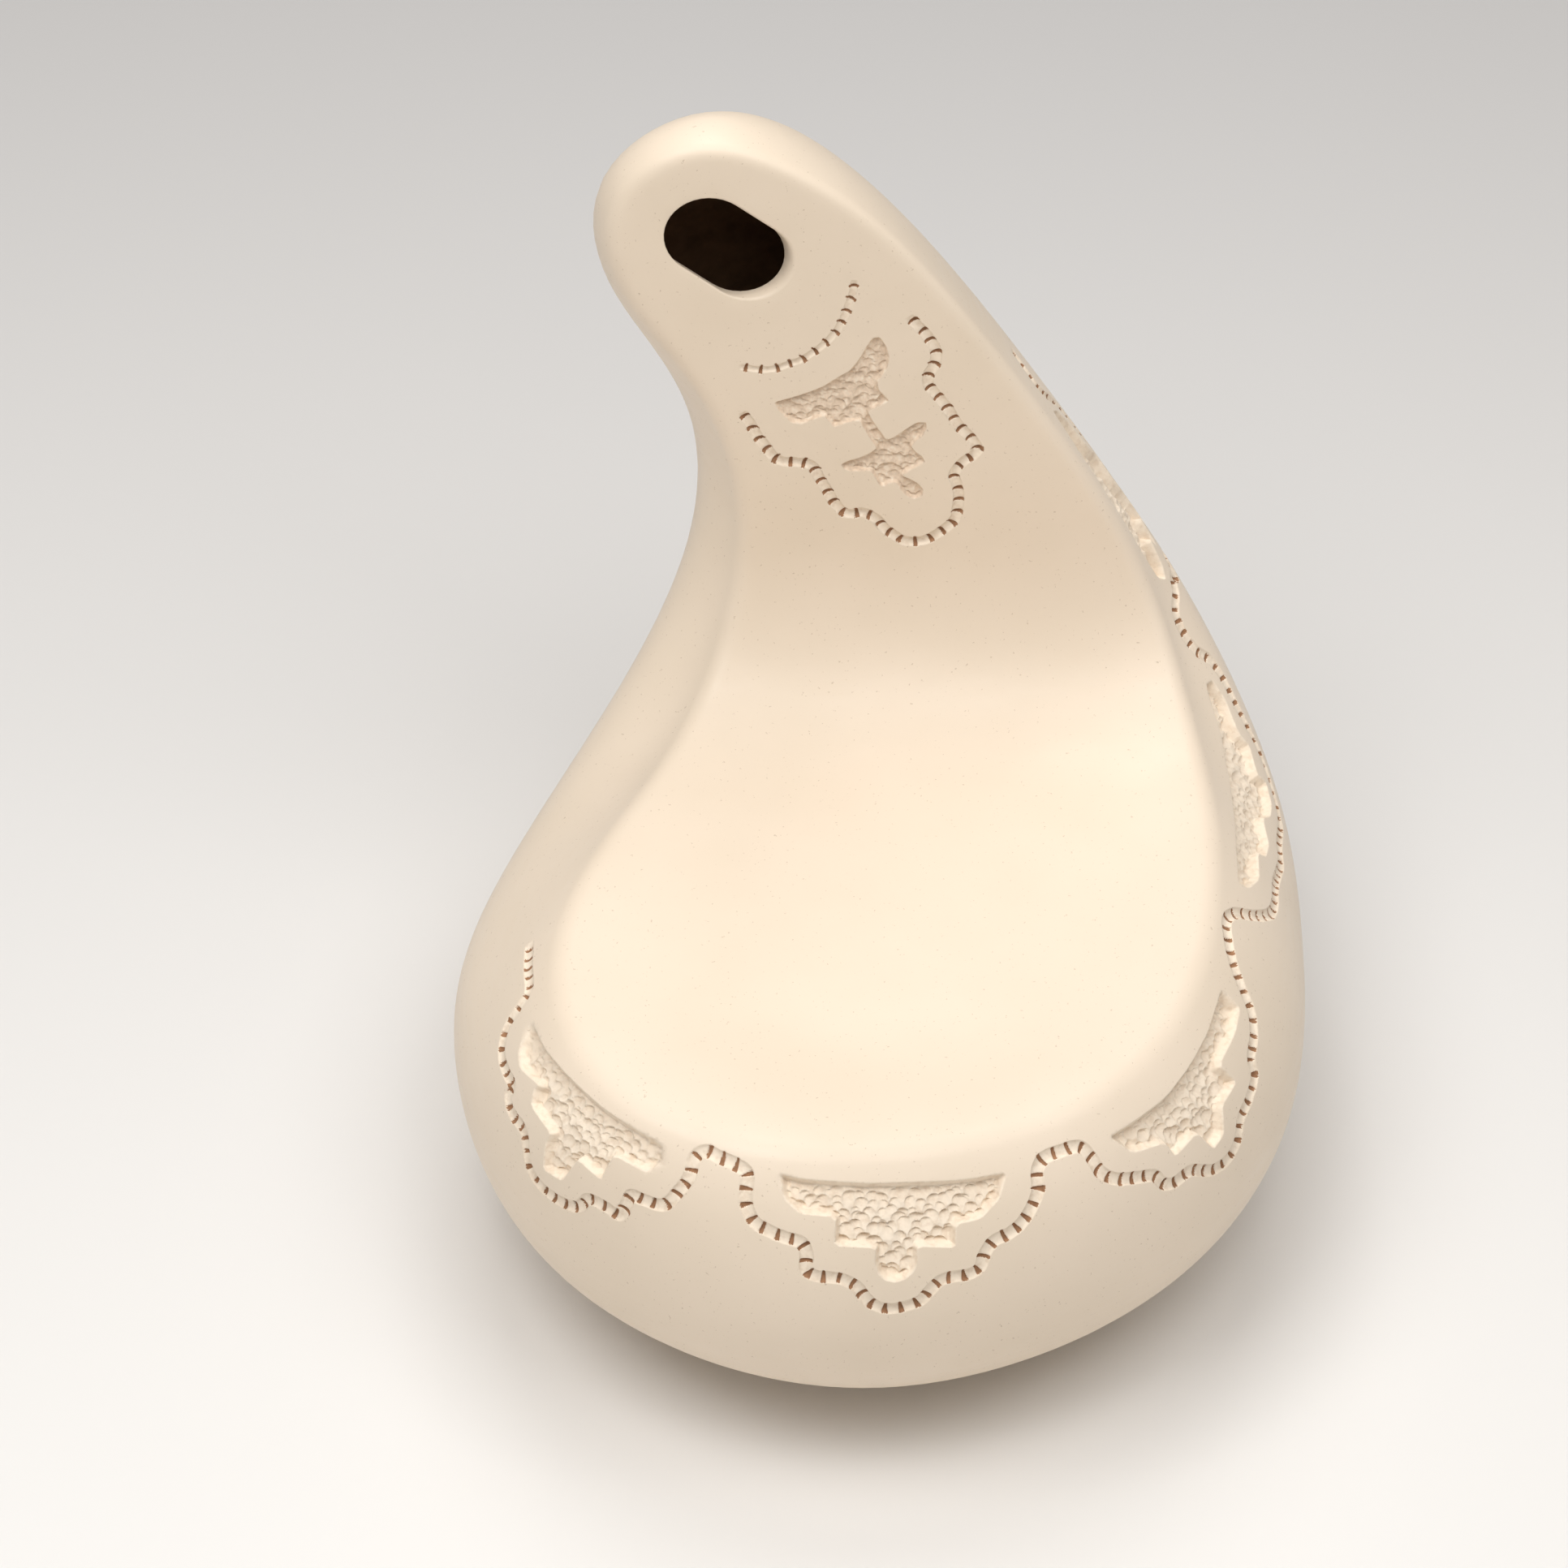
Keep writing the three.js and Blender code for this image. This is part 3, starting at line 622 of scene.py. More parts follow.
class Skin:
    """Triangles with shared points, which know the place on the wall or face they came from."""

    def __init__(self, form):
        self.form = form
        self.points = np.zeros((0, 3))
        self.wall = np.zeros((0, 2))
        self.face = np.zeros((0, 2))
        self.triangles = np.zeros((0, 3), int)
        self.sides = np.zeros(0, int)

    def add(self, points, wall=None, face=None):
        """Adds points and returns their numbers."""
        first, unknown = len(self.points), np.full((len(points), 2), np.nan)
        self.points = np.concatenate([self.points, points])
        self.wall = np.concatenate([self.wall, unknown if wall is None else wall])
        self.face = np.concatenate([self.face, unknown if face is None else face])
        return np.arange(first, len(self.points))

    def join(self, triangles, side):
        triangles = np.asarray(triangles, int)
        self.triangles = np.concatenate([self.triangles, triangles])
        self.sides = np.append(self.sides, np.full(len(triangles), side))

    def wrap(self, rings, side, flip=False):
        """Joins rings of equal length, which turn counterclockwise seen from the last one."""
        for low, high in zip(rings, rings[1:]):
            after_low, after_high = np.roll(low, -1), np.roll(high, -1)
            pairs = np.concatenate([np.stack([low, after_low, after_high], -1),
                                    np.stack([low, after_high, high], -1)])
            self.join(pairs[:, ::-1] if flip else pairs, side)

    def fan(self, centre, ring, flip=False):
        """Closes a ring with triangles that meet at a point."""
        hub = np.full(len(ring), self.add(np.array([centre]))[0])
        spokes = np.stack([hub, np.roll(ring, -1), ring], -1)
        self.join(spokes[:, ::-1] if flip else spokes, FIXED)

    def cover(self, rim, rim_places, hole, hole_places, spacing, point_at, side, flip=False):
        """Fills the face between its rim and the mouth with evenly spread triangles."""
        grid = staggered(rim_places.min(0), rim_places.max(0), spacing, 0.87)
        grid = grid[(depth_inside(grid, rim_places) > spacing * 0.5)
                    & (depth_inside(grid, hole_places) < -spacing * 0.35)]
        flat = np.concatenate([rim_places, hole_places, grid])
        n, m = len(rim_places), len(hole_places)
        edges = [(i, (i + 1) % n) for i in range(n)] + [(n + i, n + (i + 1) % m) for i in range(m)]
        found = geometry.delaunay_2d_cdt([Vector(p) for p in flat], edges, [], 1, 1e-6)
        source = np.array([origins[0] for origins in found[3]])
        inner = self.add(point_at(grid), face=grid if side == FACE_SIDE else None)
        numbers = np.concatenate([rim, hole, inner])
        triangles = source[np.array(found[2])]
        middles = flat[triangles].mean(1)
        triangles = numbers[triangles[(depth_inside(middles, hole_places) < 0)
                                      & (depth_inside(middles, rim_places) > 0)]]
        self.join(triangles[:, ::-1] if flip else triangles, side)

    def middle(self, a, b, on_wall, on_face):
        """New points halfway along edges, on the true surface."""
        form, count = self.form, len(RIBS)
        points = (self.points[a] + self.points[b]) / 2
        wall, face = np.full((len(a), 2), np.nan), np.full((len(a), 2), np.nan)
        turn = (self.wall[b, 0] - self.wall[a, 0] + count / 2) % count - count / 2
        wall[on_wall, 0] = ((self.wall[a, 0] + turn / 2) % count)[on_wall]
        wall[on_wall, 1] = ((self.wall[a, 1] + self.wall[b, 1]) / 2)[on_wall]
        points[on_wall] = form.outside(wall[on_wall, 0], wall[on_wall, 1])
        face[on_face] = ((self.face[a] + self.face[b]) / 2)[on_face]
        seam = on_wall & on_face
        face[seam] = form.edge_place(wall[seam, 0], form.rim_round)
        inner = on_face & ~on_wall
        points[inner] = form.face_point(face[inner], edge=form.edge)
        return self.add(points, wall, face)

    def refine(self, longest):
        """Halves every edge that is longer than the length wanted at its middle."""
        for _ in range(24):
            tri = self.triangles
            ends = np.concatenate([tri[:, [0, 1]], tri[:, [1, 2]], tri[:, [2, 0]]])
            edges, back = np.unique(np.sort(ends, axis=1), axis=0, return_inverse=True)
            of_tri = back.reshape(3, -1).T
            a, b = edges.T
            lengths = np.linalg.norm(self.points[a] - self.points[b], axis=1)
            on = [np.zeros(len(edges), bool) for _ in range(3)]
            for side in (FIXED, WALL_SIDE, FACE_SIDE):
                on[side][of_tri[self.sides == side].ravel()] = True
            split = np.zeros(len(edges), bool)
            free = ~on[FIXED] & (lengths > longest.least)
            middles = (self.points[a[free]] + self.points[b[free]]) / 2
            split[free] = lengths[free] > longest(middles)
            if not split.any():
                return
            first = np.argmax(lengths[of_tri], axis=1)
            rows = np.arange(len(tri))
            longest_edge = of_tri[rows, first]
            while True:
                more = split[of_tri].any(1) & ~split[longest_edge]
                if not more.any():
                    break
                split[longest_edge[more]] = True
            number = np.full(len(edges), -1)
            number[split] = self.middle(a[split], b[split],
                                        on[WALL_SIDE][split], on[FACE_SIDE][split])
            self.divide(number, of_tri, first)

    def divide(self, number, of_tri, first):
        """Replaces each triangle with a split edge, cutting its longest edge first."""
        order = (first[:, None] + np.arange(3)) % 3
        v = np.take_along_axis(self.triangles, order, 1)
        m = number[np.take_along_axis(of_tri, order, 1)]
        whole = m[:, 0] < 0
        parts, sides = [v[whole]], [self.sides[whole]]

        def keep(chosen, *corners):
            parts.append(np.stack([c[chosen] for c in corners], -1))
            sides.append(self.sides[chosen])

        near, far = m[:, 2] >= 0, m[:, 1] >= 0
        keep(~whole & ~near, v[:, 0], m[:, 0], v[:, 2])
        keep(~whole & near, v[:, 0], m[:, 0], m[:, 2])
        keep(~whole & near, m[:, 2], m[:, 0], v[:, 2])
        keep(~whole & ~far, m[:, 0], v[:, 1], v[:, 2])
        keep(~whole & far, m[:, 0], v[:, 1], m[:, 1])
        keep(~whole & far, m[:, 0], m[:, 1], v[:, 2])
        self.triangles, self.sides = np.concatenate(parts), np.concatenate(sides)

    def normals(self):
        """The direction that each point faces, averaged over its triangles."""
        p = self.points[self.triangles]
        flat = np.cross(p[:, 1] - p[:, 0], p[:, 2] - p[:, 0])
        total = np.zeros_like(self.points)
        for k in range(3):
            np.add.at(total, self.triangles[:, k], flat)
        return total / np.maximum(np.linalg.norm(total, axis=1, keepdims=True), 1e-12)


def levels(under, wall, rounded):
    """Places up the side, with so many steps on the underside, the wall and the rounding."""
    return np.concatenate([np.arange(0, 1, 1 / under), np.arange(1, 2, 1 / wall),
                           np.linspace(2, 3, rounded + 1)])


def plain_skin(form):
    """The whole vessel without its carving: the outside, the mouth and the hollow."""
    skin = Skin(form)
    t = np.arange(0, len(RIBS), OUTSIDE_STEP)
    rings = []
    for level in levels(8, 24, 6):
        v = np.full(len(t), level)
        face = form.edge if level == 3 else None
        rings.append(skin.add(form.outside(t, v), wall=np.stack([t, v], -1), face=face))
    skin.wrap(rings, WALL_SIDE)
    skin.fan([0, form.foot_setback, 0.0], rings[0])
    mouth, mouth_places = form.mouth_rings(), form.mouth_outline(form.lip_round)
    lip = [skin.add(mouth[0], face=mouth_places)] + [skin.add(ring) for ring in mouth[1:]]
    skin.wrap(lip, FIXED)
    skin.cover(rings[-1], form.edge, lip[0], mouth_places, FACE_MESH,
               lambda places: form.face_point(places, edge=form.edge), FACE_SIDE)
    t = np.arange(0, len(RIBS), INSIDE_STEP)
    hollow = [skin.add(form.inside(t, v)) for v in levels(6, 14, 3)]
    skin.wrap(hollow, FIXED, flip=True)
    skin.fan([0, form.foot_setback, form.floor], hollow[0], flip=True)
    skin.cover(hollow[-1], form.inner_edge, lip[-1], form.pared_outline(), UNDER_FACE_MESH,
               lambda places: form.face_point(places, form.wall, form.inner_edge), FIXED,
               flip=True)
    return skin


def smooth_line(points, spacing):
    """A smooth line through the points, with evenly spaced samples."""
    ends = np.concatenate([[2 * points[0] - points[1]], points, [2 * points[-1] - points[-2]]])
    pieces = []
    for a, b, c, d in zip(ends, ends[1:], ends[2:], ends[3:]):
        u = np.linspace(0, 1, 12, endpoint=False)[:, None]
        h00, h10, h01, h11 = hermite_weights(u)
        pieces.append(h00 * b + h10 * (c - a) / 2 + h01 * c + h11 * (d - b) / 2)
    line = np.concatenate(pieces + [points[-1:]])
    run = np.append(0, np.cumsum(np.linalg.norm(np.diff(line, axis=0), axis=1)))
    at = np.linspace(0, run[-1], int(run[-1] / spacing) + 1)
    return at, np.stack([np.interp(at, run, line[:, k]) for k in range(line.shape[1])], -1)


def flat_line(places):
    return np.column_stack([places, np.zeros(len(places))])


def soft_outline(points):
    """An outline with its corners cut a little, as a knife leaves them."""
    after, most = np.roll(points, -1, 0), 1 - CORNER_CUT
    return np.stack([points * most + after * CORNER_CUT,
                     points * CORNER_CUT + after * most], 1).reshape(-1, 2)


class Groove:
    """A stitched groove along a line of points, with a stamped cut at every pitch."""

    def __init__(self, points, carving, rng, width, stamp=1.0):
        self.half = width / 2
        self.depth = carving.groove_depth * min(width / carving.groove_width * 1.2, 1)
        self.slit = carving.stamp_width / 2 * stamp
        self.reach = carving.stamp_length / 2 * stamp
        self.at, self.line = smooth_line(np.asarray(points, float), LINE_STEP)
        self.way = unit(np.gradient(self.line, axis=0))
        room = self.at[-1] - 2 * END_MARGIN
        count = int(room / carving.stamp_pitch) + 1
        self.pitch = room / max(count - 1, 1)
        evenly = END_MARGIN + np.arange(count) * self.pitch
        self.stamps = evenly + rng.normal(0, STAMP_SHIFT, count)
        self.turn = rng.normal(0, STAMP_TURN, count)
        self.size = rng.normal(1, STAMP_SIZE, count)
        self.taper = rng.uniform(*STAMP_TAPER, count)
        self.deep = rng.uniform(*STAMP_DEPTHS, count)


def groove_cut(points, normals, grooves, carving):
    """Depth of the grooves at each point, and which points lie in a groove or a stamp."""
    line = np.concatenate([g.line for g in grooves])
    owner = np.concatenate([np.full(len(g.line), k) for k, g in enumerate(grooves)])
    nearest, away = nearest_in(tree_of(line), points)
    cut = np.zeros(len(points))
    grooved, stamped = np.zeros((2, len(points)), bool)
    close = np.flatnonzero(away < carving.groove_width / 2 + 2)
    for k, groove in enumerate(grooves):
        here = close[owner[nearest[close]] == k]
        sample = nearest[here] - np.flatnonzero(owner == k)[0]
        offset = points[here] - groove.line[sample]
        way = groove.way[sample]
        along = groove.at[sample] + (offset * way).sum(1)
        side = (offset * np.cross(normals[here], way)).sum(1)
        bed = groove.depth * np.sqrt(np.clip(1 - (side / groove.half) ** 2, 0, 1))
        for from_end in (along, groove.at[-1] - along):
            bed *= smoothstep(from_end, *GROOVE_FADE)
        stamp = np.rint((along - END_MARGIN) / groove.pitch).astype(int)
        stamp = np.clip(stamp, 0, len(groove.stamps) - 1)
        slant = along - groove.stamps[stamp] - side * groove.turn[stamp]
        reach = groove.reach * groove.size[stamp]
        slit = groove.slit * (1 - groove.taper[stamp] * side / reach)
        wedge = np.clip((slit - np.abs(slant)) / STAMP_WALLS[0], 0, 1)
        wedge *= np.clip((reach - np.abs(side)) / STAMP_WALLS[1], 0, 1)
        cut[here] = bed + wedge * carving.stamp_depth * groove.deep[stamp]
        grooved[here] = (bed > GROOVED) | (wedge > 0)
        # These points get the stamped cuts' painted shade.
        stamped[here] = wedge > 0.3
    return cut, grooved, stamped


def scoop_marks(outline, pitch, rng):
    """Staggered scoops over the whole of an outline: place, turn and size of each."""
    marks = staggered(outline.min(0) - pitch, outline.max(0) + pitch, pitch, SCOOP_ROWS)
    marks = marks[depth_inside(marks, outline) > -pitch * 0.6]
    count = len(marks)
    marks += rng.normal(0, pitch * SCOOP_SPREAD, (count, 2))
    turns = rng.normal(0, SCOOP_TURN, count)
    return np.column_stack([marks, turns, rng.uniform(*SCOOP_SIZES, count)])


def tree_of(points):
    tree = kdtree.KDTree(len(points))
    for k, point in enumerate(points):
        tree.insert(point, k)
    tree.balance()
    return tree


def nearest_in(tree, points):
    """The number and the distance of the nearest point in a tree."""
    found = [tree.find(point)[1:] for point in points]
    return (np.array([number for number, _ in found], int),
            np.array([away for _, away in found], float))


class Cloud:
    """A sunken cloud: where it lies, which way it faces, the axes that its outline is drawn in
    and its scoops. The second axis runs uphill, or downhill where uphill is -1."""

    def __init__(self, middle, out, axes, uphill, corners, pitch, rng):
        self.middle, self.out, self.axes, self.uphill = middle, out, axes, uphill
        self.outline = soft_outline((corners - middle) @ axes.T)
        self.marks = scoop_marks(self.outline, pitch, rng)

    def near(self, points, normals):
        """Which points may lie in the cloud."""
        close = np.linalg.norm(points - self.middle, axis=1) < CLOUD_REACH
        return np.flatnonzero(close & (normals @ self.out > CLOUD_FACING))

    def cut(self, points, sizes, depth, slope):
        """Depth of the cloud at the points, and which of them lie inside it."""
        flat = (points - self.middle) @ self.axes.T
        inside = depth_inside(flat, self.outline)
        near = np.flatnonzero(inside > -0.2)
        places, scoops = flat[near], np.zeros(len(near))
        radius = sizes.scoop_pitch * SCOOP_RADIUS
        for x, y, turn, size in self.marks:
            offset = (places - (x, y)) * (1, self.uphill)
            close = np.flatnonzero((np.abs(offset) < radius * 1.6).all(1))
            side, up = offset[close].T / (radius * size)
            c, s = math.cos(turn), math.sin(turn)
            side, up = side * c + up * s, up * c - side * s
            edge = np.sqrt(np.clip(1 - side ** 2, 0, 1))
            ramp_down = np.clip((up + 1) / (edge + 1), 0, 1)
            wall = np.clip((edge - up) * radius * size / SCOOP_WALL, 0, 1)
            scoops[close] = np.maximum(scoops[close], size * ramp_down * wall * edge ** 2)
        share = SHALLOW_SCOOPS + (1 - SHALLOW_SCOOPS) * min(depth / FULL_CLOUD, 1)
        floor = smoothstep(inside[near], SCOOP_BORDER, slope + SCOOP_BORDER)
        cut = depth * smoothstep(inside, 0, slope)
        cut[near] += sizes.scoop_depth * share * (scoops - SCOOP_RAISED) * floor
        return cut, inside > 0

    def spots(self):
        """Points spread over the cloud, and its corners."""
        low, high = self.outline.min(0), self.outline.max(0)
        grid = np.array([(x, y) for x in np.arange(low[0], high[0], SPOT_SPACING)
                         for y in np.arange(low[1], high[1], SPOT_SPACING)])
        flat = np.concatenate([grid[depth_inside(grid, self.outline) > 0], self.outline])
        return self.middle + flat @ self.axes


class Carving:
    """All that is cut into the plain skin. What is on the wall is placed in space, and what is
    on the face in the face's own flat measures."""

    def __init__(self, form, sizes):
        self.form, self.sizes = form, sizes
        rng = np.random.default_rng(sizes.seed)
        width, pitch = sizes.groove_width, sizes.scoop_pitch
        wall_grooves = [Groove(form.wall_place(line), sizes, rng, width)
                        for line in WALL_GROOVES]
        face_grooves = [Groove(flat_line(line), sizes, rng, sizes.arc_width, ARC_STAMP)
                        for line in FACE_ARCS]
        face_grooves += [Groove(flat_line(line), sizes, rng, width * FRAME_WIDTH, FRAME_STAMP)
                         for line in FACE_FRAMES]
        wall_clouds = []
        for outline in WALL_CLOUDS.values():
            cross = np.array([(0, 0), (1, 0), (-1, 0), (0, 1), (0, -1)])
            middle, right, left, below, above = form.wall_place(np.mean(outline, axis=0) + cross)
            along = unit(right - left)
            out = unit(np.cross(along, above - below))
            axes = np.stack([along, np.cross(along, out)])
            wall_clouds.append(Cloud(middle, out, axes, -1, form.wall_place(outline), pitch, rng))
        face_clouds = []
        for corners in map(flat_line, FACE_CLOUDS.values()):
            face_clouds.append(Cloud(corners.mean(0), UP, np.eye(3)[:2], 1, corners,
                                     pitch * FACE_SCOOPS, rng))
        self.sides = {
            WALL_SIDE: (wall_grooves, wall_clouds, CARVED,
                        sizes.wall_cloud_depth, sizes.wall_cloud_slope),
            # The neck clouds' floors take the darker finish, partly painted shade and partly
            # dustier clay.
            FACE_SIDE: (face_grooves, face_clouds, SCRAPED_DUST_AND_SHADE,
                        sizes.face_cloud_depth, sizes.face_cloud_slope),
        }

    def cut(self, points, normals, places, side):
        """Depth of all carving at points of one side, and what each point is made of."""
        if side == FACE_SIDE:
            points, normals = flat_line(places), np.tile(UP, (len(places), 1))
        grooves, clouds, floor, *depth_and_slope = self.sides[side]
        depth, made_of = np.zeros(len(points)), np.full(len(points), BURNISHED)
        for cloud in clouds:
            near = cloud.near(points, normals)
            cut, inside = cloud.cut(points[near], self.sizes, *depth_and_slope)
            depth[near] = np.maximum(depth[near], cut)
            made_of[near[inside]] = floor
        cut, grooved, stamped = groove_cut(points, normals, grooves, self.sizes)
        made_of[grooved] = CARVED
        # The stamped cuts take a dark brown, which is painted shade for their narrow pits.
        made_of[stamped] = STAMP_SHADE
        return np.maximum(depth, cut), made_of

    def detail(self):
        """Points of the grooves and of the clouds, in space, where the skin must be fine."""
        lines, spots = [], []
        for side, (grooves, clouds, *_) in self.sides.items():
            for found, kept in (([g.line for g in grooves], lines),
                                ([cloud.spots() for cloud in clouds], spots)):
                points = np.concatenate(found)
                on_face = side == FACE_SIDE
                kept.append(self.form.face_point(points[:, :2]) if on_face else points)
        return np.concatenate(lines), np.concatenate(spots)


class Fineness:
    """The longest edge wanted at a point: short in the carving, long on plain clay."""

    def __init__(self, carving_lines, carving_spots, sizes, coarser):
        self.lines, self.spots = tree_of(carving_lines), tree_of(carving_spots)
        self.groove = self.least = sizes.fine_edge * coarser
        self.cloud, self.plain = sizes.cloud_edge * coarser, sizes.plain_edge

    def __call__(self, points):
        _, line = nearest_in(self.lines, points)
        _, spot = nearest_in(self.spots, points)
        groove = self.groove + EDGE_GROWTH * np.maximum(line - GROOVE_ZONE, 0)
        cloud = self.cloud + EDGE_GROWTH * np.maximum(spot - CLOUD_ZONE, 0)
        return np.minimum(np.minimum(groove, cloud), self.plain)


class Finish:
    """A material with the few nodes that the finishes here are made of."""

    def __init__(self, name, roughness=0.5, specular=0.5):
        self.material = bpy.data.materials.new(name)
        self.material.use_nodes = True
        self.nodes, self.links = self.material.node_tree.nodes, self.material.node_tree.links
        self.inputs = self.nodes["Principled BSDF"].inputs
        self.inputs["Roughness"].default_value = roughness
        self.inputs["Specular IOR Level"].default_value = specular

    def noise(self, scale, detail, stretch=(1, 1, 1)):
        """A noise over the object's own coordinates, in metres."""
        place = self.nodes.new("ShaderNodeTexCoord")
        mapping = self.nodes.new("ShaderNodeMapping")
        mapping.inputs["Scale"].default_value = stretch
        texture = self.nodes.new("ShaderNodeTexNoise")
        texture.inputs["Scale"].default_value = scale
        texture.inputs["Detail"].default_value = detail
        self.links.new(place.outputs["Object"], mapping.inputs["Vector"])
        self.links.new(mapping.outputs["Vector"], texture.inputs["Vector"])
        return texture.outputs["Fac"]

    def ramp(self, source, *stops):
        """Colours or greys at given values of the source."""
        node = self.nodes.new("ShaderNodeValToRGB")
        elements = node.color_ramp.elements
        while len(elements) < len(stops):
            elements.new(0.5)
        for element, (place, rgb) in zip(elements, stops):
            element.position = place
            element.color = (*rgb, 1)
        self.links.new(source, node.inputs["Fac"])
        return node.outputs["Color"]

    def multiply(self, share, first, second):
        node = self.nodes.new("ShaderNodeMix")
        node.data_type, node.blend_type = "RGBA", "MULTIPLY"
        node.inputs[0].default_value = share
        self.links.new(first, node.inputs[6])
        self.links.new(second, node.inputs[7])
        return node.outputs[2]

    def bump(self, height, strength, distance):
        node = self.nodes.new("ShaderNodeBump")
        node.inputs["Strength"].default_value = strength
        node.inputs["Distance"].default_value = distance
        self.links.new(height, node.inputs["Height"])
        self.links.new(node.outputs["Normal"], self.inputs["Normal"])


def burnished_clay(colours):
    """Smooth pale clay, with soft patches, a few grains and the burnisher's faint streaks."""
    clay = Finish("burnished_clay")
    patches = clay.ramp(clay.noise(22, 3), (0.35, colours.burnished), (0.68, colours.worn))
    grains = clay.ramp(clay.noise(1400, 2), (0.26, (0.62, 0.55, 0.48)), (0.31, (1, 1, 1)))
    tint = clay.multiply(0.55, patches, grains)
    clay.links.new(tint, clay.inputs["Base Color"])
    low, high = colours.sheen - 0.06, colours.sheen + 0.08
    streaks = clay.ramp(clay.noise(90, 4, (1, 1, 7)), (0.3, (low,) * 3), (0.7, (high,) * 3))
    clay.links.new(streaks, clay.inputs["Roughness"])
    clay.inputs["IOR"].default_value = 1.45
    clay.bump(clay.noise(420, 5), 0.12, 0.0003)
    return clay.material


def matte_clay(name, grain, stops, roughness, specular, relief=None):
    """Unburnished clay. The stamped cuts' finish is a painted shade, and the neck clouds' floors
    are partly one. The grain is a scale and a detail, and the relief the same with the strength
    and the distance of its bump."""
    clay = Finish(name, roughness, specular)
    clay.links.new(clay.ramp(clay.noise(*grain), *stops), clay.inputs["Base Color"])
    if relief:
        clay.bump(clay.noise(*relief[:2]), *relief[2:])
    return clay.material


def darker(rgb, share):
    return [channel * share for channel in rgb]


def body_materials(colours):
    """The body's finishes, in the order of what its triangles are made of."""
    cut, stamped, inside, scraped = colours.cut, colours.stamped, colours.inside, colours.scraped
    return (
        burnished_clay(colours),
        matte_clay("carved_clay", (700, 4), [(0.32, colours.cut_dust), (0.52, cut)],
                   0.85, 0.3, (1100, 4, 0.35, 0.0004)),
        # The stamped cuts: a dark brown that paints in the shade of their pits.
        matte_clay("stamped_clay", (900, 3), [(0.3, darker(stamped, 0.7)), (0.65, stamped)],
                   0.95, 0.15),
        matte_clay("raw_inside_clay", (160, 5), [(0.3, darker(inside, 0.6)), (0.7, inside)],
                   0.9, 0.5, (500, 4, 0.4, 0.0006)),
        # The neck clouds' floors: darker partly as painted shade of their rough floor, partly as
        # dustier clay.
        matte_clay("scraped_clay", (900, 4),
                   [(0.34, darker(scraped, 0.84)), (0.5, scraped), (0.7, cut)],
                   0.9, 0.25, (1300, 4, 0.35, 0.0004)),
    )


def mesh_object(name, points, triangles):
    mesh = bpy.data.meshes.new(name)
    mesh.from_pydata(points.tolist(), [], triangles.tolist())
    mesh.shade_smooth()
    body = bpy.data.objects.new(name, mesh)
    bpy.context.scene.collection.objects.link(body)
    return body


class MESH_OT_clay_vessel(bpy.types.Operator):
    """Build the fired clay body with its hollow, its mouth and all its carving"""

    bl_idname = "mesh.clay_vessel"
    bl_label = "Clay Vessel"

    def execute(self, context):
        scene = context.scene
        form = Form(scene.vessel_sizes)
        sizes = Millimetres(scene.vessel_carving)
        carving = Carving(form, sizes)
        skin = plain_skin(form)
        coarser = 1.0
        skin.refine(Fineness(*carving.detail(), sizes, coarser))
        points, made_of = self.carve(skin, carving)
        middles = skin.points[skin.triangles].mean(1)
        centre, square, _ = form.mouth_frame()
        in_lip = ((centre - middles) @ square < form.lip_wall) & (middles[:, 2] > MOUTH_BASE)
        outer = in_lip | (middles[:, 2] < FOOT_TOP)
        fixed = skin.sides == FIXED
        made_of[fixed] = np.where(outer[fixed], BURNISHED, INSIDE)
        points = (points - (0, form.foot_setback, 0)) * MM * FACET_SHARE
        body = mesh_object("carved_body", points, skin.triangles)
        for material in body_materials(scene.vessel_finish):
            body.data.materials.append(material)
        body.data.polygons.foreach_set("material_index", made_of)
        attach(body, "root")
        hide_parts("vessel_body")
        return {"FINISHED"}

    def carve(self, skin, carving):
        """The skin's points cut in, and what each triangle is made of."""
        normals = skin.normals()
        facing = unit(normals[skin.triangles].mean(1))
        middles = skin.points[skin.triangles].mean(1)
        depth, made_of = np.zeros(len(skin.points)), np.full(len(middles), BURNISHED)
        for side, known in ((WALL_SIDE, skin.wall), (FACE_SIDE, skin.face)):
            mine = np.flatnonzero(~np.isnan(known[:, 0]))
            cut, _ = carving.cut(skin.points[mine], normals[mine], skin.face[mine], side)
            depth[mine] = np.maximum(depth[mine], cut)
            tris = np.flatnonzero(skin.sides == side)
            places = skin.face[skin.triangles[tris]].mean(1)
            _, made_of[tris] = carving.cut(middles[tris], facing[tris], places, side)
        return skin.points - normals * depth[:, None], made_of


